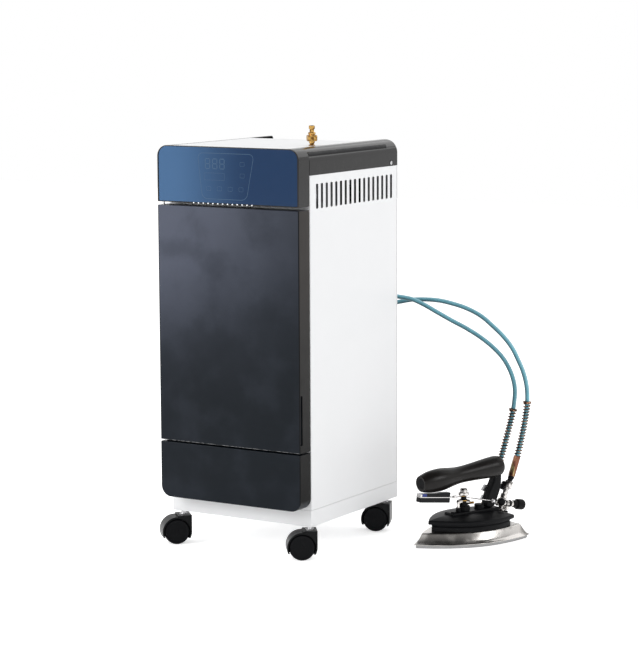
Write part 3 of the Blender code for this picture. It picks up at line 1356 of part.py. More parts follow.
# Iron
def boat(inset, length, half_width, z):
    """The sole's outline drawn in by an inset: a pointed nose, full sides and a straight rear."""
    tip = inset * TIP_INSET_SHARE
    span = length - tip - inset
    width = half_width - inset
    nose = span * SOLE_NOSE_SHARE
    side = []
    for i in range(1, SOLE_STEPS + 1):
        s = span * (i / SOLE_STEPS) ** 1.4
        if s < nose:
            w = width * (1 - (1 - s / nose) ** SOLE_NOSE_POWER)
        else:
            w = width * (1 - SOLE_TAPER_SHARE * ((s - nose) / (span - nose)) ** 2)
        side.append((tip + s, w))
    ring = [(tip, 0, z)]
    ring += [(s, -w, z) for s, w in side]
    ring += [(s, w, z) for s, w in reversed(side)]
    return ring


def shifted(ring, offset):
    return [(s + offset, v, z) for s, v, z in ring]


def iron_body(frame):
    length = SOLE_LENGTH
    half = SOLE_HALF_WIDTH
    pocket_inset = SHELL_INSET + SHELL_WALL
    pocket_top = SHELL_HEIGHT - SHELL_WALL
    core_inset = pocket_inset + TOUCH_GAP
    sole = loft(
        [
            boat(SOLE_INSET, length, half, -IRON_FRAME_HEIGHT),
            boat(SOLE_INSET, length, half, SOLE_EDGE_HEIGHT),
            boat(core_inset, length, half, SOLE_EDGE_HEIGHT),
            boat(core_inset, length, half, pocket_top - TOUCH_GAP),
        ]
    )
    finish_part(sole, "iron_soleplate", "cast_aluminium", parent=frame)
    lip_low = SOLE_EDGE_HEIGHT + TOUCH_GAP
    lip_top = lip_low + LIP_THICKNESS
    rise = SHELL_HEIGHT - lip_top
    rings = [
        boat(0, length, half, lip_low),
        boat(0, length, half, lip_top),
        boat(SHELL_INSET / 3, length, half, lip_top + rise / 8),
        boat(SHELL_INSET * 2 / 3, length, half, lip_top + rise / 2),
        boat(SHELL_INSET, length, half, SHELL_HEIGHT),
    ]
    shell = loft(rings)
    cut(shell, loft([boat(pocket_inset, length, half, z) for z in (0, pocket_top)]))
    finish_part(shell, "iron_shell", "polished_steel", parent=frame)
    size = (COVER_LENGTH, COVER_HALF_WIDTH)
    rim_top = COVER_BOTTOM + COVER_RIM
    cover = loft(
        [
            shifted(boat(TOUCH_GAP, *size, COVER_BOTTOM), COVER_TIP),
            shifted(boat(0, *size, COVER_BOTTOM + TOUCH_GAP), COVER_TIP),
            shifted(boat(0, *size, rim_top - TOUCH_GAP), COVER_TIP),
            shifted(boat(TOUCH_GAP * 3, *size, rim_top), COVER_TIP),
            shifted(boat(CROWN_INSET, *size, rim_top + COVER_CROWN), COVER_TIP),
        ]
    )
    shield_low = SHELL_HEIGHT + TOUCH_GAP
    shield = loft(
        [
            shifted(boat(SHIELD_INSET, *size, shield_low), COVER_TIP),
            shifted(boat(SHIELD_INSET, *size, COVER_BOTTOM + TOUCH_GAP * 2), COVER_TIP),
        ]
    )
    join(cover, shield)
    rear = COVER_TIP + COVER_LENGTH
    spine_low = (SPINE_FRONT, -SPINE_HALF_WIDTH, COVER_BOTTOM + COVER_RIM / 2)
    spine_end = POST_HEAD_REAR_S - SPINE_END_SETBACK
    join(cover, edged_box(spine_low, (spine_end, SPINE_HALF_WIDTH, SPINE_TOP), SHEET))
    cap_start = (ROUND_CAP_S, 0, SPINE_TOP - SHEET)
    cap_end = (ROUND_CAP_S, 0, SPINE_TOP + ROUND_CAP_HEIGHT)
    join(cover, rod(cap_start, cap_end, ROUND_CAP_RADIUS, 16))
    boss_low = (rear - REAR_BOSS_LENGTH / 4, -REAR_BOSS_HALF_WIDTH, COVER_BOTTOM + SHEET)
    boss_high = (rear + REAR_BOSS_LENGTH, REAR_BOSS_HALF_WIDTH, REAR_BOSS_TOP)
    join(cover, edged_box(boss_low, boss_high, SHEET))
    finish_part(cover, "iron_cover", "black_plastic", parent=frame)
    return boss_high[2]


def grip_solid(swell):
    """The grip's turned form, or with a swell the cutter that gives the post its saddle."""
    along = Vector((math.cos(GRIP_SLOPE), 0, math.sin(GRIP_SLOPE)))
    start = Vector((GRIP_FRONT_S, 0, GRIP_FRONT_Z)) - along * swell
    profile = [(0, GRIP_LENGTH + swell * 2)]
    stations = zip(reversed(GRIP_STATION_SHARES), reversed(GRIP_RADIUS_SHARES))
    for station, radius in stations:
        profile.append((GRIP_RADIUS * radius + swell, GRIP_LENGTH * station + swell))
    if swell == 0:
        dish = GRIP_RADIUS * GRIP_RADIUS_SHARES[0] - SHEET
        profile += [(dish, 0), (dish - SHEET, SHEET / 2), (0, SHEET / 2)]
    else:
        profile += [(GRIP_RADIUS, 0), (0, 0)]
    return turned(profile, start, along, 20)


def iron_handle(frame):
    finish_part(grip_solid(0), "iron_grip", "grip_plastic", parent=frame)
    foot = SPINE_TOP + TOUCH_GAP
    axis_z = GRIP_FRONT_Z + math.tan(GRIP_SLOPE) * (POST_HEAD_REAR_S - GRIP_FRONT_S)
    height = axis_z - foot
    front = zip(POST_FRONT_SETBACKS, POST_FRONT_SHARES)
    rear = zip(POST_REAR_SETBACKS, POST_REAR_SHARES)
    outline = [(POST_HEAD_REAR_S - setback, foot + height * share) for setback, share in rear]
    outline += [(POST_HEAD_REAR_S, axis_z), (POST_HEAD_FRONT_S, axis_z)]
    outline += reversed([(POST_HEAD_FRONT_S - setback, foot + height * share) for setback, share in front])
    post = prism([outline], -POST_HALF_WIDTH, POST_HALF_WIDTH, "XZ")
    cut(post, grip_solid(TOUCH_GAP))
    clear = ROUND_CAP_RADIUS + TOUCH_GAP
    cut(post, rod((ROUND_CAP_S, 0, foot - CUT_OVERRUN), (ROUND_CAP_S, 0, foot + ROUND_CAP_HEIGHT), clear, 16))
    eye_outer = -POST_HALF_WIDTH - TOUCH_GAP - EYE_HALF_WIDTH * 2
    head_in = eye_outer - TOUCH_GAP
    head_out = head_in - PIVOT_HEAD_HEIGHT
    start = (PIVOT_S, -POST_HALF_WIDTH / 2, PIVOT_Z)
    join(post, rod(start, (PIVOT_S, head_in - PIVOT_HEAD_HEIGHT / 2, PIVOT_Z), PIVOT_PIN_RADIUS, SMALL_SEGMENTS))
    join(post, rod((PIVOT_S, head_in, PIVOT_Z), (PIVOT_S, head_out, PIVOT_Z), PIVOT_HEAD_RADIUS, SMALL_SEGMENTS))
    finish_part(post, "iron_post", "black_plastic", parent=frame)


def lever_outline(front, rear, low, high, slope):
    """A slab along the lever's line, between two heights above it."""
    return [
        (front[0], front[1] + low),
        (rear[0], front[1] + low + slope * (rear[0] - front[0])),
        (rear[0], front[1] + high + slope * (rear[0] - front[0])),
        (front[0], front[1] + high),
    ]


def iron_trigger(frame):
    slope = (LEVER_REAR_Z - LEVER_FRONT_Z) / (LEVER_REAR_S - LEVER_FRONT_S)
    front = (LEVER_FRONT_S, LEVER_FRONT_Z)
    rear = (LEVER_REAR_S, LEVER_REAR_Z)
    half = LEVER_HALF_WIDTH
    plate = LEVER_PLATE / 2
    item = prism([lever_outline(front, rear, -plate - LEVER_LOWER_PAD, plate, slope)], -half, half, "XZ")
    upper_front = (LEVER_FRONT_S + LEVER_UPPER_SETBACK, LEVER_FRONT_Z + slope * LEVER_UPPER_SETBACK)
    upper = lever_outline(upper_front, rear, 0, plate + LEVER_UPPER_PAD, slope)
    join(item, prism([upper], -half * 0.9, half * 0.9, "XZ"))
    eye_v = -POST_HALF_WIDTH - TOUCH_GAP - EYE_HALF_WIDTH
    drop = (PIVOT_Z - LEVER_VALVE_Z) / (PIVOT_S - VALVE_S)
    bend_z = PIVOT_Z - drop * (PIVOT_S - ROD_BEND_S)
    straight_z = PIVOT_Z - drop * (PIVOT_S - ROD_STRAIGHT_S)
    path = [
        (LEVER_REAR_S - LEVER_UPPER_SETBACK, 0, LEVER_REAR_Z - slope * LEVER_UPPER_SETBACK),
        (LEVER_REAR_S, 0, LEVER_REAR_Z),
        (VALVE_S, 0, LEVER_VALVE_Z),
        (ROD_STRAIGHT_S, 0, straight_z),
        (ROD_BEND_S, eye_v, bend_z),
        (PIVOT_S - EYE_RADIUS * 2 / 3, eye_v, PIVOT_Z - drop * EYE_RADIUS * 2 / 3),
    ]
    join(item, tube(path, ROD_RADIUS))
    low = (PIVOT_S, eye_v - EYE_HALF_WIDTH, PIVOT_Z)
    high = (PIVOT_S, eye_v + EYE_HALF_WIDTH, PIVOT_Z)
    join(item, rod(low, high, EYE_RADIUS, SMALL_SEGMENTS))
    bore_low = (PIVOT_S, eye_v - CUT_OVERRUN, PIVOT_Z)
    bore_high = (PIVOT_S, eye_v + CUT_OVERRUN, PIVOT_Z)
    cut(item, rod(bore_low, bore_high, PIVOT_PIN_RADIUS + TOUCH_GAP, SMALL_SEGMENTS))
    finish_part(item, "iron_trigger", "black_plastic", origin=(PIVOT_S, eye_v, PIVOT_Z), parent=frame)


def steam_valve(frame):
    base = SPINE_TOP + TOUCH_GAP
    item = rod((VALVE_S, 0, base), (VALVE_S, 0, base + VALVE_HEX_HEIGHT), VALVE_HEX_RADIUS, 6)
    nut_low = VALVE_TOP - VALVE_DOME - VALVE_NUT_HEIGHT
    join(item, rod((VALVE_S, 0, base + SHEET), (VALVE_S, 0, VALVE_TOP), VALVE_BODY_RADIUS, 16))
    join(item, rod((VALVE_S, 0, nut_low), (VALVE_S, 0, nut_low + VALVE_NUT_HEIGHT), VALVE_NUT_RADIUS, 6))
    slot = ROD_RADIUS + RUNNING_GAP
    reach = VALVE_HEX_RADIUS + CUT_OVERRUN
    cut(item, box((VALVE_S - reach, -slot, WINDOW_BOTTOM), (VALVE_S + reach, slot, WINDOW_TOP)))
    finish_part(item, "iron_steam_valve", "polished_steel", parent=frame)


def iron_fittings(frame, boss_top):
    """The inlet valve with its knob and ferrule, and the return fitting on the iron's far side."""
    foot = Vector((INLET_FOOT_S, 0, boss_top + TOUCH_GAP))
    base = Vector((INLET_FOOT_S, 0, INLET_BODY_BASE_Z))
    top = Vector((INLET_TOP_S, 0, INLET_TOP_Z))
    along = (top - base).normalized()
    item = rod(foot, base + Vector((0, 0, SHEET)), INLET_FOOT_RADIUS, SMALL_SEGMENTS)
    join(item, rod(base - along * SHEET, top, INLET_BODY_RADIUS, SMALL_SEGMENTS))
    for share in INLET_NUT_SHARES:
        start = base.lerp(top, share)
        join(item, rod(start, start + along * INLET_NUT_LENGTH, INLET_NUT_RADIUS, 6))
    knob_way = Vector((math.cos(KNOB_DROP), 0, -math.sin(KNOB_DROP)))
    arm_end = base + knob_way * KNOB_ARM
    join(item, rod(base, arm_end, INLET_BODY_RADIUS * 0.98, SMALL_SEGMENTS))
    join(item, rod(arm_end - knob_way * SHEET, arm_end + knob_way * SPINDLE_REACH, SPINDLE_RADIUS, 8))
    knob_start = arm_end + knob_way * TOUCH_GAP
    bore = SPINDLE_RADIUS + TOUCH_GAP
    depth = SPINDLE_REACH + TOUCH_GAP
    profile = [
        (0, KNOB_LENGTH),
        (KNOB_RADIUS - KNOB_EDGE, KNOB_LENGTH),
        (KNOB_RADIUS, KNOB_LENGTH - KNOB_EDGE),
        (KNOB_RADIUS, KNOB_NECK_LENGTH + KNOB_EDGE),
        (KNOB_NECK_RADIUS, KNOB_NECK_LENGTH),
        (KNOB_NECK_RADIUS, 0),
        (bore, 0),
        (bore, depth),
        (0, depth),
    ]
    knob = turned(profile, knob_start, knob_way, 16)
    finish_part(knob, "iron_inlet_knob", "black_plastic", origin=knob_start, parent=frame)
    lean = Vector((math.sin(FERRULE_LEAN), 0, math.cos(FERRULE_LEAN)))
    seat = top + lean * SHEET
    join(item, rod(top - along * SHEET, seat, INLET_BODY_RADIUS * 0.96, SMALL_SEGMENTS))
    finish_part(item, "iron_inlet_valve", "polished_steel", parent=frame)
    steam_end = add_ferrule(frame, seat + lean * TOUCH_GAP, lean)
    return steam_end, lean


def ferrule_solid(start, along):
    """A long hexagonal crimp sleeve, bored from its free end for the hose."""
    end = start + along * FERRULE_LENGTH
    item = rod(start, end, FERRULE_RADIUS, 6)
    bore_start = end - along * FERRULE_DEPTH
    cut(item, rod(bore_start, end + along * CUT_OVERRUN, HOSE_RADIUS + TOUCH_GAP, SMALL_SEGMENTS))
    return item, end


def add_ferrule(frame, start, along):
    item, end = ferrule_solid(start, along)
    finish_part(item, "steam_hose_ferrule", "spring_copper", parent=frame)
    return end


def return_fitting(frame):
    top = Vector((RETURN_TOP_S, RETURN_SIDE, RETURN_TOP_Z))
    foot = Vector((RETURN_FOOT_S, RETURN_SIDE, COVER_BOTTOM + COVER_RIM + COVER_CROWN))
    along = (top - foot).normalized()
    sleeve, end = ferrule_solid(top - along * FERRULE_LENGTH, along)
    body = rod(foot + along * RETURN_FOOT_HEIGHT / 2, top - along * (FERRULE_DEPTH + SHEET), RETURN_BODY_RADIUS, 12)
    base = rod(foot, foot + Vector((0, 0, RETURN_FOOT_HEIGHT)), RETURN_FOOT_RADIUS, 6)
    item = join(join(sleeve, body), base)
    finish_part(item, "iron_return_fitting", "brass", parent=frame)
    return end, along


# Hoses and springs
def hermite(first, last, leave, arrive, share):
    square = share * share
    cube = square * share
    start_weight = 2 * cube - 3 * square + 1
    end_weight = 3 * square - 2 * cube
    leave_weight = cube - 2 * square + share
    arrive_weight = cube - square
    return first * start_weight + last * end_weight + leave * leave_weight + arrive * arrive_weight


def smooth_route(points, start_way, end_way, spacing):
    """Points along a smooth curve through the given ones, with the given ways at its two ends."""
    points = [Vector(point) for point in points]
    count = len(points)
    route = [points[0]]
    for i in range(count - 1):
        span = (points[i + 1] - points[i]).length
        tangents = []
        for j, way in ((i, start_way), (i + 1, end_way)):
            if 0 < j < count - 1:
                before = points[j] - points[j - 1]
                after = points[j + 1] - points[j]
                tangents.append((before.normalized() + after.normalized()).normalized() * span)
            else:
                tangents.append(Vector(way).normalized() * span)
        steps = max(1, round(span / spacing))
        for k in range(1, steps + 1):
            route.append(hermite(points[i], points[i + 1], tangents[0], tangents[1], k / steps))
    return route


def hose(name, start, route, end, end_way, depth):
    """A hose from its elbow along its route into its ferrule, and its points for the spring."""
    lead = Vector((1, 0, 0))
    first = Vector(start) + lead * TOUCH_GAP
    straight = first + lead * HOSE_RADIUS
    points = smooth_route([straight, *route, end], lead, -end_way, HOSE_POINT_SPACING)
    inner_end = end - end_way * (depth - TOUCH_GAP)
    item = tube([first, *points, inner_end], HOSE_RADIUS)
    finish_part(item, name, "hose_teal")
    length = sum((b - a).length for a, b in zip(points, points[1:]))
    print(name, "free length", round(length, 4))
    return smooth_route([straight, *route, end], lead, -end_way, HOSE_POINT_SPACING / 5)


def along_path(points, distance):
    """The place and the way at a distance along a path."""
    for first, second in zip(points, points[1:]):
        step = (second - first).length
        if distance <= step:
            return first.lerp(second, distance / step), (second - first).normalized()
        distance -= step
    return points[-1], (points[-1] - points[-2]).normalized()


def spring(name, path):
    """One unbroken wire round the hose, from its ferrule upward, with straight ends."""
    path = list(reversed(path))
    wire = SPRING_WIRE_RADIUS
    radius = HOSE_RADIUS + SPRING_HOSE_GAP + wire
    seat = TOUCH_GAP
    end_run = wire * 2
    coil = SPRING_LENGTH - end_run * 2
    count = SPRING_TURNS * SPRING_POINTS_PER_TURN
    side = Vector((1, 0, 0))
    points = []
    for i in range(count + 1):
        distance = seat + end_run + coil * i / count
        place, way = along_path(path, distance)
        side = (side - way * side.dot(way)).normalized()
        across = way.cross(side)
        angle = math.tau * i / SPRING_POINTS_PER_TURN
        points.append(place + (side * math.cos(angle) + across * math.sin(angle)) * radius)
        if i == 0:
            points.insert(0, points[0] - way * end_run)
    points.append(points[-1] + way * end_run)
    item = tube(points, wire, 6)
    finish_part(item, name, "spring_copper")
    turns = SPRING_POINTS_PER_TURN
    least = min(
        (points[j] - points[i]).length
        for i in range(len(points))
        for j in range(i + turns - 3, min(i + turns + 4, len(points)))
    )
    print(name, "least gap to itself", round(least - wire * 2, 5))


# Assembly
def move_to_origin(cord_names):
    """Moves the model in plan so that the origin is the bottom centre of its own pieces."""
    bpy.context.view_layer.update()
    low = Vector((math.inf, math.inf, math.inf))
    high = -low
    for item in PARTS.objects:
        if item.type != "MESH" or item.name in cord_names:
            continue
        for vertex in item.data.vertices:
            place = item.matrix_world @ vertex.co
            low = Vector(map(min, low, place))
            high = Vector(map(max, high, place))
    shift = Vector((-(low.x + high.x) / 2, -(low.y + high.y) / 2, 0))
    for item in PARTS.objects:
        if item.parent is None:
            item.location += shift
    bpy.context.view_layer.update()
    print("plan shift of the cabinet frame", tuple(round(value, 6) for value in shift))


def main():
    base_tray()
    front_frame()
    side_panels()
    rear_panel()
    top_panel()
    top_rails()
    control_housing()
    front_door()
    spigot_end = relief_valve()
    boiler_inlet, boss_top = boiler_and_jacket(spigot_end)
    tank_outlet, tank_return = water_tank()
    pump_inlet, pump_outlet = feed_pump()
    pipe_between("suction_pipe", tank_outlet, (1, 0, 0), pump_inlet, (1, 0, 0))
    pipe_between("feed_pipe", pump_outlet, (0, 0, 1), boiler_inlet, (0, 1, 0))
    solenoid_end = steam_solenoid(boss_top)
    power_board()
    cooling_fan()
    (steam_elbow, steam_nipple), (return_elbow, return_nipple) = rear_manifold()
    pipe_between("steam_pipe", solenoid_end, (0, 1, 0), steam_nipple, (0, 1, 0))
    pipe_between("return_pipe", tank_return, (0, 0, 1), return_nipple, (0, 1, 0))
    for name, (x, y, heading) in CASTERS.items():
        caster(name, x, y, heading)
    frame = bpy.data.objects.new("iron_frame", None)
    frame.location = (IRON_TIP_X, IRON_TIP_Y, IRON_FRAME_HEIGHT)
    frame.rotation_euler = (0, 0, IRON_TURN)
    PARTS.objects.link(frame)
    boss = iron_body(frame)
    iron_handle(frame)
    iron_trigger(frame)
    steam_valve(frame)
    steam_end, steam_way = iron_fittings(frame, boss)
    return_end, return_way = return_fitting(frame)
    bpy.context.view_layer.update()
    turn = frame.matrix_world.to_3x3()
    steam_path = hose(
        "steam_hose", steam_elbow, STEAM_HOSE_ROUTE, frame.matrix_world @ steam_end, turn @ steam_way, FERRULE_DEPTH
    )
    return_path = hose(
        "return_hose", return_elbow, RETURN_HOSE_ROUTE, frame.matrix_world @ return_end, turn @ return_way, FERRULE_DEPTH
    )
    spring("steam_hose_spring", steam_path)
    spring("return_hose_spring", return_path)
    cords = ("steam_hose", "return_hose", "steam_hose_spring", "return_hose_spring", "steam_hose_ferrule")
    move_to_origin(cords)


main()
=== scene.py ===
"""The garment finishing machine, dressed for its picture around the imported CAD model.

Metres, +Z up. Cabinet pieces are drawn in the cabinet frame: x from the cabinet's middle, y back
from its front face, z up from the floor. Iron pieces are drawn along the iron: s back from the
sole's tip, v to its left, z up.
"""
import math

import bmesh
import bpy
from bpy.props import FloatProperty, FloatVectorProperty, IntProperty, PointerProperty
from mathutils import Matrix, Vector


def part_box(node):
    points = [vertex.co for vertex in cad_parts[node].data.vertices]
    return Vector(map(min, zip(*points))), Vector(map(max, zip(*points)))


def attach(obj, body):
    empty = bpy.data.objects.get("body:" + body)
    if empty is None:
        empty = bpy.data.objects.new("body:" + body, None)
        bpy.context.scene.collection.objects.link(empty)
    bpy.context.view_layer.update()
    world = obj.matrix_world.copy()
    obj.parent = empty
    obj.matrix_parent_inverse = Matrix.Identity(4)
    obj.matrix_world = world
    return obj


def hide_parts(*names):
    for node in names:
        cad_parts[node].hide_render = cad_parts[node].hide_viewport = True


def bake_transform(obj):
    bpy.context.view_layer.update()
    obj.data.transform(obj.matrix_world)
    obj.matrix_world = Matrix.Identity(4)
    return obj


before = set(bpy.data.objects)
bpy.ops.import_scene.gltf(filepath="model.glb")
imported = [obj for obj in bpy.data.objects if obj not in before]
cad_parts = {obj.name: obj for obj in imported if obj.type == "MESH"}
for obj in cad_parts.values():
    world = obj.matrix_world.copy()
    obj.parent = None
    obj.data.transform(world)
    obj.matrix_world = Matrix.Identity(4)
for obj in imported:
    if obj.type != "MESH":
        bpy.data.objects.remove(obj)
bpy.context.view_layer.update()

bl_info = {
    "name": "Garment finishing machine",
    "version": (1, 0, 0),
    "blender": (4, 5, 0),
    "location": "3D View > Sidebar > Garment machine",
    "description": "Builds the steam cabinet, its iron and its hoses around the packed model",
    "category": "Object",
}

# Places taken from the frame
TRAY_LOW, TRAY_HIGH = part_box("base_tray")
HEAD_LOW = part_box("control_housing")[0]
DOOR_LOW, DOOR_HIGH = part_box("front_door")
LOWER_LOW, LOWER_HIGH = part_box("lower_front_panel")
RAIL_LOW, RAIL_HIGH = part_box("top_rail_right")
CABINET_ORIGIN = Vector(((TRAY_LOW.x + TRAY_HIGH.x) / 2, HEAD_LOW.y, 0))
CABINET = Matrix.Translation(CABINET_ORIGIN)
HALF_WIDTH = (TRAY_HIGH.x - TRAY_LOW.x) / 2
FRONT_DEPTH = TRAY_LOW.y - HEAD_LOW.y
DEPTH = TRAY_HIGH.y - HEAD_LOW.y
RAIL_BOTTOM = RAIL_LOW.z
CABINET_TOP = RAIL_HIGH.z
HEAD_BOTTOM = HEAD_LOW.z
IRON_TIP = Vector((0.2361, 0.1816, 0.001))
IRON = Matrix.Translation(CABINET_ORIGIN + IRON_TIP) @ Matrix.Rotation(math.radians(66.2), 4, "Z")
ROW = Matrix.Identity(4)
MIRROR = Matrix.Diagonal((-1, 1, 1, 1))
UP = Vector((0, 0, 1))

# Sizes shared by several pieces
GAP = 0.0003
SHEET = 0.001
WALL = 0.002
OVER = 0.01
INK = 0.00007
RAIL_WALL = 0.0016
HINGE = (-0.1275, 0.0086)
RELIEF = (0.0976, 0.0976)
LEVER_PIVOT = (0.154, 0.0605)
COVER_TOP = 0.0493
SLEEVE_RADIUS = 0.0062
TOP_SHEET = CABINET_TOP - 0.0002
RAIL_INNER = HALF_WIDTH - 0.024
FOLD_RADIUS = 0.014
CROWN_RADIUS = 0.022
REAR_RADIUS = 0.032
BRAID_LENGTH = 0.0042
# Where round the hose the painted highlight falls, as a share of a turn.
BRAID_PAINTED_LIGHT_SIDE = 0.12
HOSE_INSERT = 0.02
CASTERS = {
    "front_right": (0.1265, 0.0379, -53.5), "front_left": (-0.114, 0.0334, -45.5),
    "back_right": (0.1252, 0.2778, -67.5), "back_left": (-0.1252, 0.2778, -60.0),
}
STEAM_HOSE = (
    (0.0783, 0.352, 0.3705), (0.082, 0.352, 0.3705), (0.1044, 0.3587, 0.3748), (0.1306, 0.3631, 0.3801),
    (0.1575, 0.3676, 0.3816), (0.1795, 0.3713, 0.3806), (0.2011, 0.3749, 0.3767), (0.2262, 0.379, 0.3697),
    (0.251, 0.3832, 0.358), (0.2725, 0.3868, 0.3412), (0.2908, 0.3898, 0.3244), (0.3056, 0.3923, 0.3058),
    (0.3155, 0.3939, 0.287), (0.3239, 0.3953, 0.2683), (0.3298, 0.3963, 0.2461), (0.3315, 0.3966, 0.2206),
    (0.3295, 0.3935, 0.191), (0.3262, 0.3865, 0.157),
)
RETURN_HOSE = (
    (0.0783, 0.334, 0.3915), (0.082, 0.334, 0.3915), (0.1131, 0.3418, 0.3871), (0.1385, 0.3491, 0.3829),
    (0.1575, 0.3546, 0.3747), (0.1811, 0.3614, 0.3616), (0.2048, 0.3682, 0.3486), (0.2285, 0.375, 0.3364),
    (0.2519, 0.3817, 0.3219), (0.2722, 0.3876, 0.3057), (0.288, 0.3921, 0.2886), (0.299, 0.3953, 0.2696),
    (0.3052, 0.3971, 0.2521), (0.3078, 0.3978, 0.236), (0.3071, 0.3976, 0.2184), (0.3049, 0.3965, 0.2003),
    (0.3, 0.386, 0.161),
)
INLET_BASE = Vector((0.181, 0, 0.052))
INLET_TOP = Vector((0.2021, 0, 0.0937))
FERRULE_LEAN = math.radians(20.6)
FERRULE_WAY = Vector((math.sin(FERRULE_LEAN), 0, math.cos(FERRULE_LEAN)))
FERRULE_LENGTH = 0.0345
FERRULE_START = INLET_TOP + FERRULE_WAY * (SHEET + GAP)
FERRULE_END = FERRULE_START + FERRULE_WAY * FERRULE_LENGTH
RETURN_FOOT = Vector((0.166, 0.024, 0.045))
RETURN_END = Vector((0.1965, 0.024, 0.1145))
RETURN_WAY = (RETURN_END - RETURN_FOOT).normalized()
HOSES = (("steam", STEAM_HOSE, FERRULE_END, FERRULE_WAY), ("return", RETURN_HOSE, RETURN_END, RETURN_WAY))


# Properties that a user would change
def length(name, description, default):
    return FloatProperty(name=name, description=description, default=default, min=0, unit="LENGTH", precision=5)


def count(name, description, default):
    return IntProperty(name=name, description=description, default=default, min=1)


def power(name, description, default):
    return FloatProperty(name=name, description=description, default=default, min=0, unit="POWER")


def colour(name, description, default):
    return FloatVectorProperty(
        name=name, description=description, default=default, min=0, max=1, subtype="COLOR", size=3,
    )


class CabinetSettings(bpy.types.PropertyGroup):
    slot_count: count("Vent slots", "Number of slots in each side", 17)
    slot_width: length("Slot width", "Width of one vent slot", 0.0066)
    slot_height: length("Slot height", "Height of one vent slot", 0.0388)
    slot_pitch: length("Slot pitch", "Distance from one slot to the next", 0.01455)
    sheet_edge: length("Sheet edge", "Rounding of the cut sheet edges", 0.0003)
    rail_edge: length("Rail edge", "Rounding of the rails' ends", 0.0006)
    white: colour("White coat", "Powder coat of the sheets", (0.86, 0.865, 0.875))
    dark: colour("Rails", "Moulded rails and control head", (0.01, 0.0096, 0.01))


class FrontSettings(bpy.types.PropertyGroup):
    corner_radius: length("Corner radius", "Corners of the control head and lower panel", 0.018)
    moulded_edge: length("Moulded edge", "Rounding of the front panels' edges", 0.0012)
    digit_height: length("Digit height", "Height of the display's digits", 0.0168)
    # Count of the small lenses under the control head, whose glow is painted.
    lamp_count: count("Lamps", "Small lamps under the control head", 13)
    # The door's two colours are painted light: the lit colour at its upper end and the painted shade at its lower end.
    door_upper: colour("Door, upper end", "Charcoal at the door's upper end", (0.076, 0.085, 0.115))
    door_lower: colour("Door, lower end", "Charcoal at the door's lower end", (0.0016, 0.004, 0.0072))
    # The glass's two colours carry painted light: the lit colour at its left and the painted shade at its right.
    glass_light: colour("Glass, light", "Back print on the left of the glass", (0.046, 0.112, 0.228))
    glass_deep: colour("Glass, deep", "Back print on the right of the glass", (0.003, 0.0245, 0.076))


class CasterSettings(bpy.types.PropertyGroup):
    wheel_radius: length("Wheel radius", "Outer radius of each wheel", 0.0208)
    wheel_width: length("Wheel width", "Width of each wheel", 0.0138)
    hood_radius: length("Hood radius", "Outer radius of the hood", 0.0243)
    nylon: colour("Nylon", "Colour of hood and wheels", (0.0045, 0.0048, 0.0056))


class IronSettings(bpy.types.PropertyGroup):
    sole_length: length("Sole length", "From the tip to the rear edge", 0.2038)
    sole_half_width: length("Sole half width", "Half of the widest place", 0.0605)
    grip_radius: length("Grip radius", "Largest radius of the grip", 0.0187)
    grip_length: length("Grip length", "Length of the grip", 0.1665)
    grip: colour("Grip", "Phenolic grip", (0.0068, 0.0056, 0.005))
    cover: colour("Cover", "Black cover and post", (0.004, 0.0042, 0.005))
    insert: colour("Lever insert", "Blue insert of the lever", (0.01, 0.03, 0.22))


class HoseSettings(bpy.types.PropertyGroup):
    hose_radius: length("Hose radius", "Radius over the braid", 0.0037)
    wire_radius: length("Wire radius", "Radius of the spring wire", 0.00105)
    wire_gap: length("Wire gap", "Gap between the hose and the wire", 0.00045)
    spring_length: length("Spring length", "Length of each bend guard", 0.09)
    spring_turns: count("Spring turns", "Turns of each bend guard", 18)
    strand_count: count("Strands", "Braid strands in each way round the hose", 12)
    light: colour("Braid, light", "Light strands", (0.13, 0.4, 0.48))
    deep: colour("Braid, deep", "Deep strands", (0.035, 0.165, 0.225))
    copper: colour("Coppered sleeves", "Colour of the sleeves", (0.19, 0.08, 0.052))


class StageSettings(bpy.types.PropertyGroup):
    key: power("Key lamp", "Power of the key lamp", 52)
    fill: power("Fill lamp", "Power of the fill lamp", 13.5)
    top: power("Top lamp", "Power of the top lamp", 11)
    world: FloatProperty(name="Surroundings", description="Light from all around", default=0.72, min=0)


# Meshes
def linked(name, data):
    item = bpy.data.objects.new(name, data)
    bpy.context.scene.collection.objects.link(item)
    return item


def as_mesh(work, merge=0.0):
    """A bmesh as a mesh; a merge distance also joins its points and turns its faces outward."""
    if merge:
        bmesh.ops.remove_doubles(work, verts=work.verts, dist=merge)
        bmesh.ops.recalc_face_normals(work, faces=work.faces)
    mesh = bpy.data.meshes.new("shape")
    work.to_mesh(mesh)
    work.free()
    return mesh


def opened(*meshes):
    work = bmesh.new()
    for mesh in meshes:
        work.from_mesh(mesh)
    return work


def gathered(*meshes):
    """Several meshes as one, without a Boolean."""
    return as_mesh(opened(*meshes))


def modified(data, kind=None, inputs=None, **settings):
    """The mesh that a modifier makes of a mesh or curve. Its own inputs and object meshes are handed over."""
    items = [linked("work", data)]
    if kind:
        modifier = items[0].modifiers.new("change", kind)
        for name, value in settings.items():
            if isinstance(value, bpy.types.Mesh):
                value = linked("tool", value)
                items.append(value)
            setattr(modifier, name, value)
        for name, value in (inputs or {}).items():
            modifier[name] = value
    graph = bpy.context.evaluated_depsgraph_get()
    mesh = bpy.data.meshes.new_from_object(items[0].evaluated_get(graph), depsgraph=graph)
    for item in items:
        bpy.data.objects.remove(item)
    return mesh


def eased(mesh, width, angle=35, segments=2):
    """Rounds every edge sharper than an angle in degrees."""
    return modified(
        mesh, "BEVEL", width=width, segments=segments, limit_method="ANGLE", angle_limit=math.radians(angle),
        miter_outer="MITER_ARC", harden_normals=False,
    )


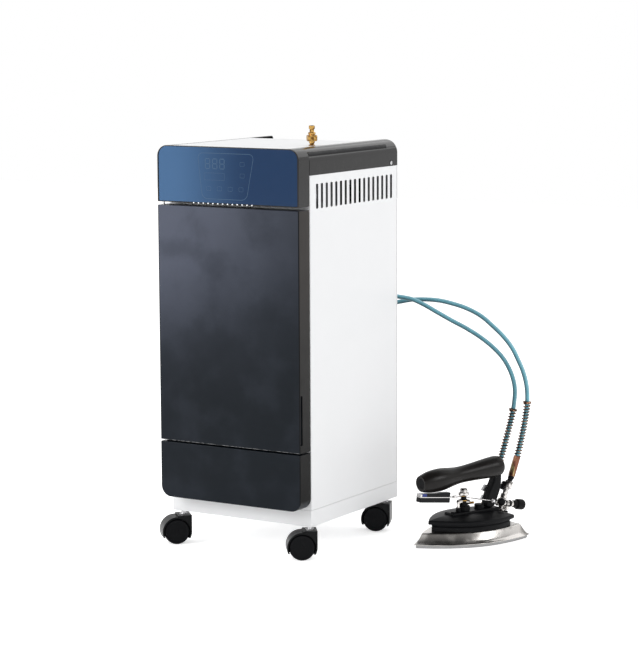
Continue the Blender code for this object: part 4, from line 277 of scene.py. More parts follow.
def cut(mesh, *tools, operation="DIFFERENCE"):
    """Exact Booleans of closed meshes, one after the other."""
    for tool in tools:
        mesh = modified(mesh, "BOOLEAN", solver="EXACT", operation=operation, object=tool)
    return mesh


def united(mesh, *others):
    return cut(mesh, *others, operation="UNION")


def moved(mesh, matrix):
    mesh = mesh.copy()
    mesh.transform(matrix)
    if matrix.determinant() < 0:
        mesh.flip_normals()
    return mesh


def shifted(mesh, x, y, z):
    return moved(mesh, Matrix.Translation((x, y, z)))


def axis_matrix(start, way):
    return Matrix.Translation(Vector(start)) @ UP.rotation_difference(Vector(way).normalized()).to_matrix().to_4x4()


PLANES = {
    "XZ": (Matrix(((1, 0, 0), (0, 0, -1), (0, 1, 0))), Vector((0, 1, 0))),
    "YZ": (Matrix(((0, 0, 1), (1, 0, 0), (0, 1, 0))), Vector((1, 0, 0))),
}


def prism(loops, low, high, plane="XZ", edge=0.0):
    """An outline and its holes, drawn in the named plane, as a slab with rounded rims."""
    curve = bpy.data.curves.new("outline", "CURVE")
    curve.dimensions = "2D"
    curve.fill_mode = "BOTH"
    curve.extrude = (high - low) / 2 - edge
    curve.bevel_depth = edge
    curve.bevel_resolution = 2
    curve.offset = -edge
    for loop in loops:
        spline = curve.splines.new("POLY")
        spline.points.add(len(loop) - 1)
        for point, (a, b) in zip(spline.points, loop):
            point.co = (a, b, 0, 1)
        spline.use_cyclic_u = True
    mesh = modified(curve)
    turn, way = PLANES[plane]
    mesh.transform(Matrix.Translation(way * (low + high) / 2) @ turn.to_4x4())
    return as_mesh(opened(mesh), 1e-6)


def block(low, high, edge=0.0):
    work = bmesh.new()
    bmesh.ops.create_cube(work, size=1)
    low, high = Vector(low), Vector(high)
    place = Matrix.Translation((low + high) / 2) @ Matrix.Diagonal((*(high - low), 1))
    bmesh.ops.transform(work, matrix=place, verts=work.verts)
    mesh = as_mesh(work, 1e-6)
    return eased(mesh, edge, segments=3) if edge else mesh


def rounded(points, radius, steps=3, closed=False):
    """Rounds the corners of a line of flat points."""
    last_place = len(points) - 1
    result = []
    for i, point in enumerate(points):
        here = Vector(point)
        before = Vector(points[i - 1]) - here
        after = Vector(points[(i + 1) % len(points)]) - here
        kept = not closed and i in (0, last_place) or min(before.length, after.length) < 1e-9
        if kept or abs(before.normalized().dot(after.normalized())) > 0.999:
            result.append(tuple(here))
            continue
        reach = min(radius, before.length * 0.45, after.length * 0.45)
        first = here + before.normalized() * reach
        last = here + after.normalized() * reach
        for k in range(steps + 1):
            t = k / steps
            result.append(tuple(first * (1 - t) ** 2 + here * (2 * t * (1 - t)) + last * t ** 2))
    return result


def turned(profile, start=(0, 0, 0), way=(0, 0, 1), segments=48, fillet=0.0003, ring=False):
    """Turns a profile of (radius, height) points about its axis, with rounded corners."""
    work = bmesh.new()
    rows = []
    for radius, height in rounded(profile, fillet, closed=ring) if fillet else profile:
        angles = [math.tau * i / segments for i in range(segments if radius > 1e-9 else 1)]
        rows.append([work.verts.new((radius * math.cos(a), radius * math.sin(a), height)) for a in angles])
    for upper, lower in zip(rows, rows[1:] + rows[:1] if ring else rows[1:]):
        for i in range(segments):
            j = (i + 1) % segments
            corners = [row[k % len(row)] for row, k in ((upper, i), (upper, j), (lower, j), (lower, i))]
            corners = list(dict.fromkeys(corners))
            if len(corners) > 2:
                work.faces.new(corners)
    mesh = as_mesh(work, 1e-8)
    mesh.transform(axis_matrix(start, way))
    return mesh


def rod(start, end, radius, segments=48):
    span = Vector(end) - Vector(start)
    tall = span.length
    return turned([(0, tall), (radius, tall), (radius, 0), (0, 0)], start, span, segments, 0)


def lofted(rings):
    """Closes a stack of rings with equal counts of points."""
    work = bmesh.new()
    rows = [[work.verts.new(point) for point in ring] for ring in rings]
    for lower, upper in zip(rows, rows[1:]):
        for i in range(len(lower)):
            work.faces.new((lower[i - 1], lower[i], upper[i], upper[i - 1]))
    work.faces.new(rows[0][::-1])
    work.faces.new(rows[-1])
    return as_mesh(work, 1e-8)


def hexagon(start, end, radius, chamfer=0.0007, segments=48):
    """A hexagonal bar or nut with turned chamfers at both ends."""
    way = Vector(end) - Vector(start)
    flat = radius * math.cos(math.pi / 6)
    steps = [(0, 0.02), (0.35, 0.45), (1, 1)]
    levels = [(chamfer * up, share) for up, share in steps]
    levels += [(way.length - chamfer * up, share) for up, share in reversed(steps)]
    rings = []
    for height, share in levels:
        ring = []
        for i in range(segments):
            angle = math.tau * i / segments
            reach = min(flat / math.cos(angle % (math.pi / 3) - math.pi / 6), flat + (radius - flat) * share)
            ring.append((reach * math.cos(angle), reach * math.sin(angle), height))
        rings.append(ring)
    mesh = lofted(rings)
    mesh.transform(axis_matrix(start, way))
    return mesh


def arc(centre, radius, start, end, steps=12):
    angles = [math.radians(start + (end - start) * i / steps) for i in range(steps + 1)]
    return [(centre[0] + radius * math.cos(a), centre[1] + radius * math.sin(a)) for a in angles]


def rectangle(low, high, bottom_radius=0.0, top_radius=0.0, steps=12):
    (x0, y0), (x1, y1) = low, high
    points = []
    for x, y, side_x, side_y, radius, start in (
        (x1, y0, -1, 1, bottom_radius, -90), (x1, y1, -1, -1, top_radius, 0),
        (x0, y1, 1, -1, top_radius, 90), (x0, y0, 1, 1, bottom_radius, 180),
    ):
        centre = (x + side_x * radius, y + side_y * radius)
        points += arc(centre, radius, start, start + 90, steps) if radius > 0 else [(x, y)]
    return points


# Paths and what follows them
def smooth_route(points, start_way, end_way, spacing):
    """Points along a smooth curve through the given ones, with the given ways at its ends."""
    points = [Vector(point) for point in points]
    ways = [(after - before).normalized() for before, after in zip(points, points[1:])]
    ways = [Vector(start_way)] + [before + after for before, after in zip(ways, ways[1:])] + [Vector(end_way)]
    route = [points[0]]
    for i, (first, last) in enumerate(zip(points, points[1:])):
        span = (last - first).length
        leave, arrive = (way.normalized() * span for way in ways[i:i + 2])
        steps = max(1, round(span / spacing))
        for k in range(1, steps + 1):
            t = k / steps
            ends = first * (2 * t ** 3 - 3 * t ** 2 + 1) + last * (3 * t ** 2 - 2 * t ** 3)
            route.append(ends + leave * (t ** 3 - 2 * t ** 2 + t) + arrive * (t ** 3 - t ** 2))
    return route


def resampled(points, spacing):
    """The same line with points at one even distance."""
    lengths = [0.0]
    for first, second in zip(points, points[1:]):
        lengths.append(lengths[-1] + (second - first).length)
    steps = max(2, round(lengths[-1] / spacing))
    result = []
    j = 0
    for i in range(steps + 1):
        distance = lengths[-1] * i / steps
        while j < len(points) - 2 and lengths[j + 1] < distance:
            j += 1
        span = lengths[j + 1] - lengths[j]
        result.append(points[j].lerp(points[j + 1], (distance - lengths[j]) / span if span else 0))
    return result


def swept(points, reach, sides):
    """A closed tube along points; reach(angle share, distance) is its radius. Its UV map holds both."""
    work = bmesh.new()
    layer = work.loops.layers.uv.new("along")
    side = None
    distance = 0.0
    rows = []
    distances = []
    for k, point in enumerate(points):
        way = (points[min(k + 1, len(points) - 1)] - points[max(k - 1, 0)]).normalized()
        if side is None:
            side = way.orthogonal().normalized()
        else:
            distance += (point - points[k - 1]).length
        side = (side - way * side.dot(way)).normalized()
        across = way.cross(side)
        row = []
        for i in range(sides):
            angle = math.tau * i / sides
            spoke = side * math.cos(angle) + across * math.sin(angle)
            row.append(work.verts.new(point + spoke * reach(i / sides, distance)))
        rows.append(row)
        distances.append(distance)
    for k, (row, following) in enumerate(zip(rows, rows[1:])):
        for i in range(sides):
            j = (i + 1) % sides
            face = work.faces.new((row[i], row[j], following[j], following[i]))
            for loop, (around, level) in zip(face.loops, ((i, k), (i + 1, k), (i + 1, k + 1), (i, k + 1))):
                loop[layer].uv = (around / sides, distances[level])
    work.faces.new(rows[0][::-1])
    work.faces.new(rows[-1])
    return as_mesh(work)


# Nodes
def _maths(operation, swapped=False):
    def apply(self, other):
        return self.nodes.maths(operation, *((other, self) if swapped else (self, other)))

    return apply


class Value:
    """A socket of a node tree; its operators add Math nodes."""

    __add__, __radd__ = _maths("ADD"), _maths("ADD", True)
    __sub__, __rsub__ = _maths("SUBTRACT"), _maths("SUBTRACT", True)
    __mul__, __rmul__ = _maths("MULTIPLY"), _maths("MULTIPLY", True)
    __truediv__, __rtruediv__ = _maths("DIVIDE"), _maths("DIVIDE", True)
    __pow__, __rpow__ = _maths("POWER"), _maths("POWER", True)

    def __init__(self, nodes, socket):
        self.nodes = nodes
        self.socket = socket


class Nodes:
    """A node tree. Constants go straight on its sockets, and values are linked."""

    def __init__(self, tree):
        self.tree = tree

    def feed(self, socket, value):
        if isinstance(value, Value):
            self.tree.links.new(value.socket, socket)
        elif socket.type == "RGBA" and len(value) == 3:
            socket.default_value = (*value, 1)
        else:
            socket.default_value = value

    def filled(self, node, inputs=None, output=0):
        for name, value in (inputs or {}).items():
            self.feed(node.inputs[name], value)
        return Value(self, node.outputs[output])

    def node(self, kind, inputs=None, output=0, **settings):
        node = self.tree.nodes.new(kind)
        for name, value in settings.items():
            setattr(node, name, value)
        return self.filled(node, inputs, output)

    def maths(self, operation, *values):
        return self.node("ShaderNodeMath", dict(enumerate(values)), operation=operation)


def grown(data, name, kinds, values, build):
    """The plain mesh that a Geometry Nodes tree makes of a mesh or a curve; build fills the tree once."""
    tree = bpy.data.node_groups.get(name)
    if not tree:
        tree = bpy.data.node_groups.new(name, "GeometryNodeTree")
        tree.interface.new_socket("Geometry", in_out="OUTPUT", socket_type="NodeSocketGeometry")
        for label, kind in {"Geometry": "Geometry", **kinds, "Material": "Material"}.items():
            tree.interface.new_socket(label, in_out="INPUT", socket_type="NodeSocket" + kind)
        nodes = Nodes(tree)
        source = {socket.name: Value(nodes, socket) for socket in tree.nodes.new("NodeGroupInput").outputs}
        whole = nodes.node("GeometryNodeRealizeInstances", {0: build(nodes, source)})
        painted = nodes.node("GeometryNodeSetMaterial", {0: whole, "Material": source["Material"]})
        nodes.feed(tree.nodes.new("NodeGroupOutput").inputs[0], painted)
    names = {item.name: item.identifier for item in tree.interface.items_tree if item.in_out == "INPUT"}
    inputs = {names[label]: value for label, value in values.items()}
    return modified(data, "NODES", inputs, node_group=tree)


def fill_repeat(nodes, source):
    """Copies a shape along a step, each turned a little further about an axis."""
    line = nodes.node("GeometryNodeMeshLine", {"Count": source["Count"], "Offset": source["Step"]}, mode="OFFSET")
    angle = nodes.node("GeometryNodeInputIndex") * source["Turn"]
    turn = nodes.node("FunctionNodeAxisAngleToRotation", {"Axis": (0, 0, 1), "Angle": angle})
    inputs = {"Points": line, "Instance": source["Geometry"], "Rotation": turn}
    return nodes.node("GeometryNodeInstanceOnPoints", inputs)


def repeated(mesh, number, finish, step=(0, 0, 0), turn=0.0):
    values = {"Count": number, "Step": step, "Turn": turn, "Material": make_finish(finish)}
    return grown(mesh, "repeat a shape", {"Count": "Int", "Step": "Vector", "Turn": "Float"}, values, fill_repeat)


def fill_coil(nodes, source):
    """Winds a wire round a path."""
    steps = source["Turns"] * source["Points per turn"]
    line = nodes.node("GeometryNodeMeshLine", {"Count": steps + 1.0, "Offset": (0, 0, 0.001)}, mode="OFFSET")
    index = nodes.node("GeometryNodeInputIndex")
    inputs = {"Curves": source["Geometry"], "Factor": index / steps}
    place = nodes.node("GeometryNodeSampleCurve", inputs, "Position", mode="FACTOR")
    sample = place.socket.node
    inputs = {
        "Vector": Value(nodes, sample.outputs["Normal"]), "Axis": Value(nodes, sample.outputs["Tangent"]),
        "Angle": index / source["Points per turn"] * math.tau,
    }
    spoke = nodes.node("ShaderNodeVectorRotate", inputs, rotation_type="AXIS_ANGLE")
    reach = nodes.node("ShaderNodeVectorMath", {0: spoke, "Scale": source["Coil radius"]}, operation="SCALE")
    place = nodes.node("ShaderNodeVectorMath", {0: place, 1: reach}, operation="ADD")
    wound = nodes.node("GeometryNodeSetPosition", {"Geometry": line, "Position": place})
    wire = nodes.node("GeometryNodeMeshToCurve", {0: wound})
    section = nodes.node("GeometryNodeCurvePrimitiveCircle", {"Resolution": 10, "Radius": source["Wire radius"]})
    return nodes.node("GeometryNodeCurveToMesh", {"Curve": wire, "Profile Curve": section, "Fill Caps": True})


# Finishes
class Finish(Nodes):
    """One material around its Principled BSDF."""

    def __init__(self, name, roughness, **constants):
        self.material = bpy.data.materials.new(name + "_finish")
        self.material.use_nodes = True
        super().__init__(self.material.node_tree)
        self.shader = self.tree.nodes["Principled BSDF"]
        self.places = self.tree.nodes.new("ShaderNodeTexCoord")
        for label, value in {"Roughness": roughness, **constants}.items():
            self.set(label.replace("_", " "), value)

    def set(self, label, value):
        self.feed(self.shader.inputs[label], value)

    def place(self, output="Object"):
        return Value(self, self.places.outputs[output])

    def part(self, axis, output="Object"):
        return self.node("ShaderNodeSeparateXYZ", {0: self.place(output)}, axis)

    def noise(self, scale, detail=3.0, stretch=None):
        place = self.place()
        if stretch:
            place = self.node("ShaderNodeMapping", {"Vector": place, "Scale": stretch})
        return self.node("ShaderNodeTexNoise", {"Vector": place, "Scale": scale, "Detail": detail})

    def span(self, value, low, high, first=0.0, last=1.0):
        """A value from one range mapped to another, and held at its ends."""
        inputs = {"Value": value, "From Min": low, "From Max": high, "To Min": first, "To Max": last}
        return self.node("ShaderNodeMapRange", inputs, interpolation_type="SMOOTHSTEP")

    def mix(self, share, first, second):
        return self.node("ShaderNodeMix", {0: share, 6: first, 7: second}, 2, data_type="RGBA")

    def bump(self, height, strength, distance):
        inputs = {"Height": height, "Strength": strength, "Distance": distance}
        self.set("Normal", self.node("ShaderNodeBump", inputs))


def shade(rgb, factor):
    return tuple(min(1.0, value * factor) for value in rgb)


def even(name, tones, cloud, worn, ends, grain, patches=None, **constants):
    """A finish whose colour, roughness and bump each follow a noise; patches are a share with soft limits."""
    finish = Finish(name, ends[2], **constants)
    share = finish.noise(*cloud)
    finish.set("Base Color", finish.mix(finish.span(share, *patches) if patches else share, *tones))
    finish.set("Roughness", finish.span(finish.noise(*worn), *ends))
    finish.bump(finish.noise(*grain[0]), *grain[1:])
    return finish


def powder_coat(name, rgb, inside=None):
    """Semi-gloss powder coat with its fine orange peel; where an inside colour is given, the inner faces and slot walls
    get it as a near-black painted shade.
    """
    tones = (shade(rgb, 0.975), shade(rgb, 1.015))
    peel = ((1100, 2), 0.1, 0.0002)
    finish = even(name, tones, (9, 4), (60, 3), (0.3, 0.7, 0.32, 0.42), peel, Specular_IOR_Level=0.45)
    # Painted shade: the inner faces and slot walls turn near black and metallic, standing in for the shade inside the
    # cabinet.
    if inside:
        coat = Value(finish, finish.shader.inputs["Base Color"].links[0].from_socket)
        reach = finish.maths("ABSOLUTE", finish.part(0) - CABINET_ORIGIN.x)
        outer = finish.span(reach, HALF_WIDTH - SHEET * 0.22, HALF_WIDTH - SHEET * 0.08)
        finish.set("Base Color", finish.mix(outer, inside, coat))
        finish.set("Metallic", finish.span(outer, 0.0, 1.0, 1.0, 0.0))
    return finish


def moulding(name, rgb, rough, grain=0.1, gloss=0.3, coat=0.0, glow=0.0):
    """Injection-moulded plastic: fine grain, faint clouding, light handling marks."""
    constants = {"Specular_IOR_Level": gloss, "Coat_Weight": coat, "Coat_Roughness": 0.12, "Emission_Strength": glow}
    tones = (shade(rgb, 0.9), shade(rgb, 1.1))
    ends = (0.45, 0.75, rough, rough + 0.08)
    return even(name, tones, (14, 4), (55, 6), ends, ((2600, 2), grain, 0.0002), **constants)


def shaded_front(name, upper, lower):
    """Satin charcoal moulding with wiped cloudy marks and painted light: lit towards its upper left, painted shade
    towards its lower right, a painted dark reflection at its side corners, a painted highlight along its bottom edge
    and side faces lit towards the top.
    """
    finish = Finish(name, 0.34, Specular_IOR_Level=0.12)
    across, height = finish.part(0), finish.part(2)
    # Painted light: lighter towards the upper end and the left, painted shade towards the lower right.
    rise = (height - DOOR_LOW.z) * (1 / (DOOR_HIGH.z - DOOR_LOW.z)) + (finish.noise(7, 5) - 0.5) * 0.1
    rise = finish.span(rise, 0.0, 1.0)
    right = (across - DOOR_LOW.x) * (1 / (DOOR_HIGH.x - DOOR_LOW.x))
    tone = finish.mix(finish.span((rise ** 1.45 * 0.9 + 0.1) * (1.03 - right * 0.66), 0.0, 1.0), lower, upper)
    tone = finish.mix(finish.span(finish.noise(15, 7), 0.42, 0.72, 0.0, 0.06), tone, shade(upper, 1.5))
    tone = finish.mix(finish.span(finish.noise(11, 6), 0.46, 0.66, 0.0, 0.3), tone, lower)
    # Painted dark reflection along both vertical corners of the front.
    reach = finish.maths("ABSOLUTE", across - CABINET_ORIGIN.x)
    tone = finish.mix(finish.span(reach, HALF_WIDTH - 0.0022, HALF_WIDTH - 0.0014), tone, shade(lower, 0.4))
    # Painted highlight: a broken light line along the door's bottom edge, where the floor would be reflected.
    rim = finish.span(height, DOOR_LOW.z + 0.001, DOOR_LOW.z + 0.0005)
    rim = rim * finish.span(height, DOOR_LOW.z - 0.0007, DOOR_LOW.z - 0.0002)
    tone = finish.mix(rim * finish.span(finish.noise(150, 2), 0.4, 0.55, 0.1, 0.8), tone, (0.42, 0.42, 0.43))
    # Painted light on the side faces: dark at the bottom, lighter towards the top.
    side = finish.mix(rise, (0.005, 0.0048, 0.0048), (0.034, 0.03, 0.0275))
    finish.set("Base Color", finish.mix(finish.span(reach, HALF_WIDTH - 0.0003, HALF_WIDTH - 0.0001), tone, side))
    finish.set("Roughness", finish.span(finish.noise(28, 6), 0.4, 0.7, 0.32, 0.42))
    finish.bump(finish.noise(2400, 2), 0.06, 0.0002)
    return finish


def printed_glass(name, light, deep):
    """Clear glass over a deep blue back print, with painted light: lit at the left and painted shade towards the right.
    """
    finish = Finish(name, 0.1, Specular_IOR_Level=0.22, Coat_Weight=0.1, Coat_Roughness=0.03)
    left = CABINET_ORIGIN.x - HALF_WIDTH
    # Painted light: the print's colour runs from lit at the left to painted shade at the right.
    share = finish.span(finish.part(0) + (finish.noise(11, 4) - 0.5) * 0.02, left + 0.02, left + 0.18)
    finish.set("Base Color", finish.mix(share, light, deep))
    finish.set("Roughness", finish.span(finish.noise(40, 5), 0.4, 0.75, 0.08, 0.18))
    return finish


def plated(name, bright, dark, scale, share=0.5, rough=0.1):
    """Plated metal with painted reflections: noise patches of a bright and a dark tone stand in for the bright and dark
    surroundings it mirrors.
    """
    return even(
        name, (dark, bright), (scale, 2.5), (scale * 1.7, 3), (0.3, 0.7, rough, rough + 0.14),
        ((scale * 0.8, 2), 0.25, 0.0005), (share - 0.09, share + 0.09), Metallic=1.0,
    )


def polished(name, rgb):
    """Polished or plated metal with faint wiping marks."""
    tones = (shade(rgb, 0.94), shade(rgb, 1.04))
    worn = (90, 6, (1, 1, 6))
    return even(name, tones, (30, 5), worn, (0.35, 0.75, 0.07, 0.16), ((380, 3), 0.03, 0.0003), Metallic=1.0)


def turned_metal(name, rgb, rough):
    """Machined metal with fine tool lines and slight tarnish."""
    tones = (rgb, shade(rgb, 0.72))
    lines = (160, 3, (1, 1, 40))
    ends = (0.3, 0.7, rough - 0.05, rough + 0.12)
    return even(name, tones, (120, 5), lines, ends, (lines, 0.1, 0.0002), (0.35, 0.75), Metallic=1.0)


def cast_metal(name, rgb):
    """Machined aluminium casting."""
    tones = (shade(rgb, 0.88), shade(rgb, 1.06))
    return even(name, tones, (70, 5), (220, 4), (0.3, 0.7, 0.28, 0.44), ((900, 4), 0.12, 0.0002), Metallic=1.0)


def milky(name, rgb):
    """Milky tank plastic."""
    tones = (shade(rgb, 0.92), rgb)
    return even(name, tones, (18, 4), (50, 4), (0.3, 0.7, 0.26, 0.4), ((700, 2), 0.06, 0.0002), Specular_IOR_Level=0.5)


def streaked_copper(name, rgb):
    """Yellow-passivated and coppered steel, streaked from plating."""
    finish = Finish(name, 0.3, Metallic=1.0)
    streaks = finish.noise(260, 4, (1, 1, 0.12))
    tone = finish.mix(finish.span(streaks, 0.46, 0.66), rgb, (0.4, 0.33, 0.15))
    dark = finish.span(finish.noise(420, 4, (1, 1, 0.2)), 0.52, 0.68, 0.0, 0.7)
    finish.set("Base Color", finish.mix(dark, tone, shade(rgb, 0.35)))
    finish.set("Roughness", finish.span(streaks, 0.3, 0.7, 0.22, 0.42))
    finish.bump(finish.noise(1500, 3), 0.1, 0.0001)
    return finish


def braid(name, light, deep, strands):
    """Woven sleeve read from the hose's own map: strands in two ways, some lighter, and painted light: a painted
    highlight on one side and painted shade on the other.
    """
    finish = Finish(name, 0.48, Sheen_Weight=0.25, Specular_IOR_Level=0.5)
    around = finish.part(0, "UV")
    rise = finish.part(1, "UV") * (1 / BRAID_LENGTH)
    places = (around * float(strands) + rise, around * float(strands) - rise)
    crown, second = (finish.maths("PINGPONG", finish.maths("FRACT", place), 0.5) for place in places)
    cloud = finish.noise(45, 4)
    tone = finish.mix(finish.span(crown + second, 0.2, 0.8), deep, light)
    tone = finish.mix(finish.span(cloud, 0.35, 0.7, 0.0, 0.35), tone, shade(light, 1.35))
    # Painted light round the hose: painted shade away from the lit side, and a painted highlight (pale cyan) on it.
    painted_light_swing = finish.maths("COSINE", (around - BRAID_PAINTED_LIGHT_SIDE) * math.tau)
    tone = finish.mix(finish.span(painted_light_swing, -0.5, 0.3, 0.85, 0.0), tone, shade(deep, 0.35))
    finish.set("Base Color", finish.mix(finish.span(painted_light_swing, 0.2, 1.0, 0.0, 0.6), tone, (0.36, 0.64, 0.74)))
    finish.set("Roughness", finish.span(cloud, 0.3, 0.7, 0.42, 0.55))
    return finish


def patterned(name, rgb, rough, kind, scale, shades, strength, distance, sheen=0.0):
    """A circuit board's tracks or an insulation's weave, from one pattern node."""
    settings = {"bands_direction": "Z"} if kind == "Wave" else {}
    finish = Finish(name, rough, Sheen_Weight=sheen)
    pattern = finish.node("ShaderNodeTex" + kind, {"Vector": finish.place(), "Scale": scale}, 1, **settings)
    finish.set("Base Color", finish.mix(pattern, *(shade(rgb, factor) for factor in shades)))
    finish.bump(pattern, strength, distance)
    return finish


FINISHES = {}


def make_finish(name):
    """The material of a finish's name, made when it is first asked for."""
    scene = bpy.context.scene
    cabinet, front, caster = scene.machine_cabinet, scene.machine_front, scene.machine_casters
    iron, hose = scene.machine_iron, scene.machine_hoses
    recipes = {
        "white_paint": (powder_coat, cabinet.white),
        # Side sheets: white outside, near-black painted shade on the inner faces and in the slots.
        "side_paint": (powder_coat, cabinet.white, (0.012, 0.012, 0.013)),
        "black_rail": (moulding, cabinet.dark, 0.13, 0.012, 0.33),
        "charcoal_door": (shaded_front, front.door_upper, front.door_lower),
        "blue_glass": (printed_glass, front.glass_light, front.glass_deep),
        "display_print": (moulding, (0.046, 0.096, 0.165), 0.3, 0.02, 0.22),
        # Painted glow: faint emission makes these small white lenses show as bright dots in the seam under the control
        # head.
        "lamp_lens": (moulding, (0.85, 0.88, 0.92), 0.12, 0.02, 0.3, 0.5, 0.5),
        "black_plastic": (moulding, (0.0045, 0.0048, 0.0055), 0.34, 0.05, 0.16),
        "cover_black": (moulding, iron.cover, 0.4, 0.1, 0.1),
        # chrome_shell, plated_steel, spring_wire and brass mix a bright and a dark tone by noise: painted reflections.
        "chrome_shell": (plated, (0.66, 0.635, 0.61), (0.22, 0.21, 0.2), 24, 0.48, 0.17),
        "caster_nylon": (moulding, caster.nylon, 0.46, 0.1, 0.07),
        "hood_nylon": (moulding, shade(caster.nylon, 0.9), 0.3, 0.06, 0.1),
        "grip_plastic": (moulding, iron.grip, 0.28, 0.05, 0.2),
        "lever_insert": (moulding, iron.insert, 0.3, 0.05, 0.3, 0.2),
        "polished_steel": (polished, (0.58, 0.565, 0.56)),
        "plated_steel": (plated, (0.64, 0.62, 0.6), (0.075, 0.07, 0.067), 190, 0.46),
        "spring_wire": (plated, (0.42, 0.23, 0.14), (0.022, 0.013, 0.011), 420, 0.56),
        "bright_zinc": (turned_metal, (0.66, 0.66, 0.67), 0.2),
        "cast_aluminium": (cast_metal, (0.3, 0.3, 0.3)),
        "brass": (plated, (0.64, 0.385, 0.115), (0.15, 0.068, 0.015), 210),
        "steel": (turned_metal, (0.5, 0.51, 0.52), 0.3),
        "tank_plastic": (milky, (0.76, 0.8, 0.83)),
        "board_green": (patterned, (0.018, 0.11, 0.05), 0.4, "Brick", 160.0, (1, 2.2), 0.2, 0.0001),
        "hose_teal": (braid, hose.light, hose.deep, hose.strand_count),
        "spring_copper": (streaked_copper, hose.copper),
        "insulation": (patterned, (0.52, 0.49, 0.43), 0.85, "Wave", 260.0, (0.75, 1), 0.5, 0.0004, 0.3),
    }
    if name not in FINISHES:
        recipe, *values = recipes[name]
        FINISHES[name] = recipe(name, *values).material
    return FINISHES[name]


def put(name, mesh, finish, node=None, body="cabinet", place=CABINET, angle=38):
    """Places a mesh, gives it its finish, and lets it ride on its body in place of its CAD node."""
    mesh.transform(place)
    if place.determinant() < 0:
        mesh.flip_normals()
    mesh.materials.clear()
    mesh.materials.append(make_finish(finish))
    mesh.polygons.foreach_set("material_index", [0] * len(mesh.polygons))
    mesh.shade_smooth()
    mesh.set_sharp_from_angle(angle=math.radians(angle))
    if len(mesh.polygons) < 60000:
        mesh = modified(mesh, "WEIGHTED_NORMAL", keep_sharp=True, weight=50)
    mesh.name = name
    item = linked(name, mesh)
    if body:
        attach(item, body)
    if node:
        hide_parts(node)
    return item


def put_iron(name, mesh, finish, node=None, angle=38, body="iron"):
    return put(name, mesh, finish, node, body, IRON, angle)


def redone(node, finish, edge=0.0004, body="cabinet"):
    """A copy of a CAD node's mesh, merged and with eased edges, in its place."""
    work = opened(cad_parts[node].data)
    bmesh.ops.remove_doubles(work, verts=work.verts, dist=1e-6)
    bmesh.ops.dissolve_limit(work, angle_limit=math.radians(0.5), verts=work.verts, edges=work.edges)
    mesh = as_mesh(work)
    if edge:
        mesh = eased(mesh, edge, 38)
    return put(node + "_dressed", mesh, finish, node, body, ROW)


# Pieces
class MACHINE_OT_hoses(bpy.types.Operator):
    """Braids the two hoses and lays them from the cabinet's elbows to the iron"""

    bl_idname = "machine.hoses"
    bl_label = "Hoses"

    def execute(self, context):
        settings = context.scene.machine_hoses
        radius = settings.hose_radius
        strands = settings.strand_count

        def reach(around, distance):
            rise = distance / BRAID_LENGTH
            first = around * strands + rise
            second = around * strands - rise
            over = (math.floor(first) + math.floor(second)) % 2
            crown = (first if over else second) % 1
            return radius * (0.955 + 0.055 * math.sin(math.pi * crown) ** 0.7)

        for label, points, end, way in HOSES:
            line = hose_path(points, end, way)
            path = resampled([*line, IRON @ (end - way * HOSE_INSERT)], 0.0009)
            hose = put(label + "_hose_braid", swept(path, reach, 72), "hose_teal", label + "_hose", None, ROW)
            guard_start = point_from_end(line, settings.spring_length)
            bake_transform(hose)
            hose["free_length"] = sum((after - before).length for before, after in zip(path, path[1:]))
        return {"FINISHED"}


def hose_path(points, end, way):
    """The hose's line from its elbow to its sleeve on the iron, in the row frame."""
    route = [CABINET @ Vector(point) for point in points[1:]]
    way = (IRON.to_3x3() @ way).normalized()
    middle = smooth_route([*route, IRON @ end], Vector((1, 0, 0)), -way, 0.003)
    return [CABINET @ Vector(points[0]), *middle]


def point_from_end(points, distance):
    """The point of a line at a distance back from its end."""
    points = list(reversed(points))
    for first, second in zip(points, points[1:]):
        step = (second - first).length
        if distance <= step:
            return first.lerp(second, distance / step)
        distance -= step
    return points[-1]


class MACHINE_OT_springs(bpy.types.Operator):
    bl_idname = "machine.springs"
    bl_label = "Bend guards"

    def execute(self, context):
        settings = context.scene.machine_hoses
        wire = settings.wire_radius
        coil = settings.hose_radius + settings.wire_gap + wire
        spacing = 0.0005
        for label, points, end, way in HOSES:
            path = hose_path(points, end, way)
            near = list(reversed(resampled(path, spacing)))
            count = round(settings.spring_length / spacing)
            guide = bpy.data.curves.new("guide", "CURVE")
            guide.dimensions = "3D"
            spline = guide.splines.new("POLY")
            spline.points.add(count)
            for point, place in zip(spline.points, near):
                point.co = (*place, 1)
            values = {
                "Turns": settings.spring_turns, "Points per turn": 28, "Coil radius": coil,
                "Wire radius": wire, "Material": make_finish("spring_wire"),
            }
            kinds = {"Turns": "Int", "Points per turn": "Int", "Coil radius": "Float", "Wire radius": "Float"}
            wound = grown(guide, "wind a wire", kinds, values, fill_coil)
            along = (near[count] - near[count - 8]).normalized()
            ring = [
                (coil - wire, 0.003), (coil + wire * 1.5, 0.003), (coil + wire * 2, 0.0018),
                (coil + wire * 1.5, 0.0006), (coil + wire * 1.5, -0.001), (coil - wire, -0.001),
            ]
            collar = turned(ring, near[count], along, 32, ring=True)
            spring = put(label + "_bend_guard", wound, "spring_wire", label + "_hose_spring", "iron", ROW, 60)
            cap = put(label + "_guard_collar", collar, "spring_wire", None, "iron", ROW)
        return {"FINISHED"}


def both_sides(name, mesh, finish, node=None):
    """Puts a right-hand piece and its mirror image; the braces in a name stand for the side."""
    for side, shape in (("left", moved(mesh, MIRROR)), ("right", mesh)):
        put(name.format(side), shape, finish, node and node.format(side))


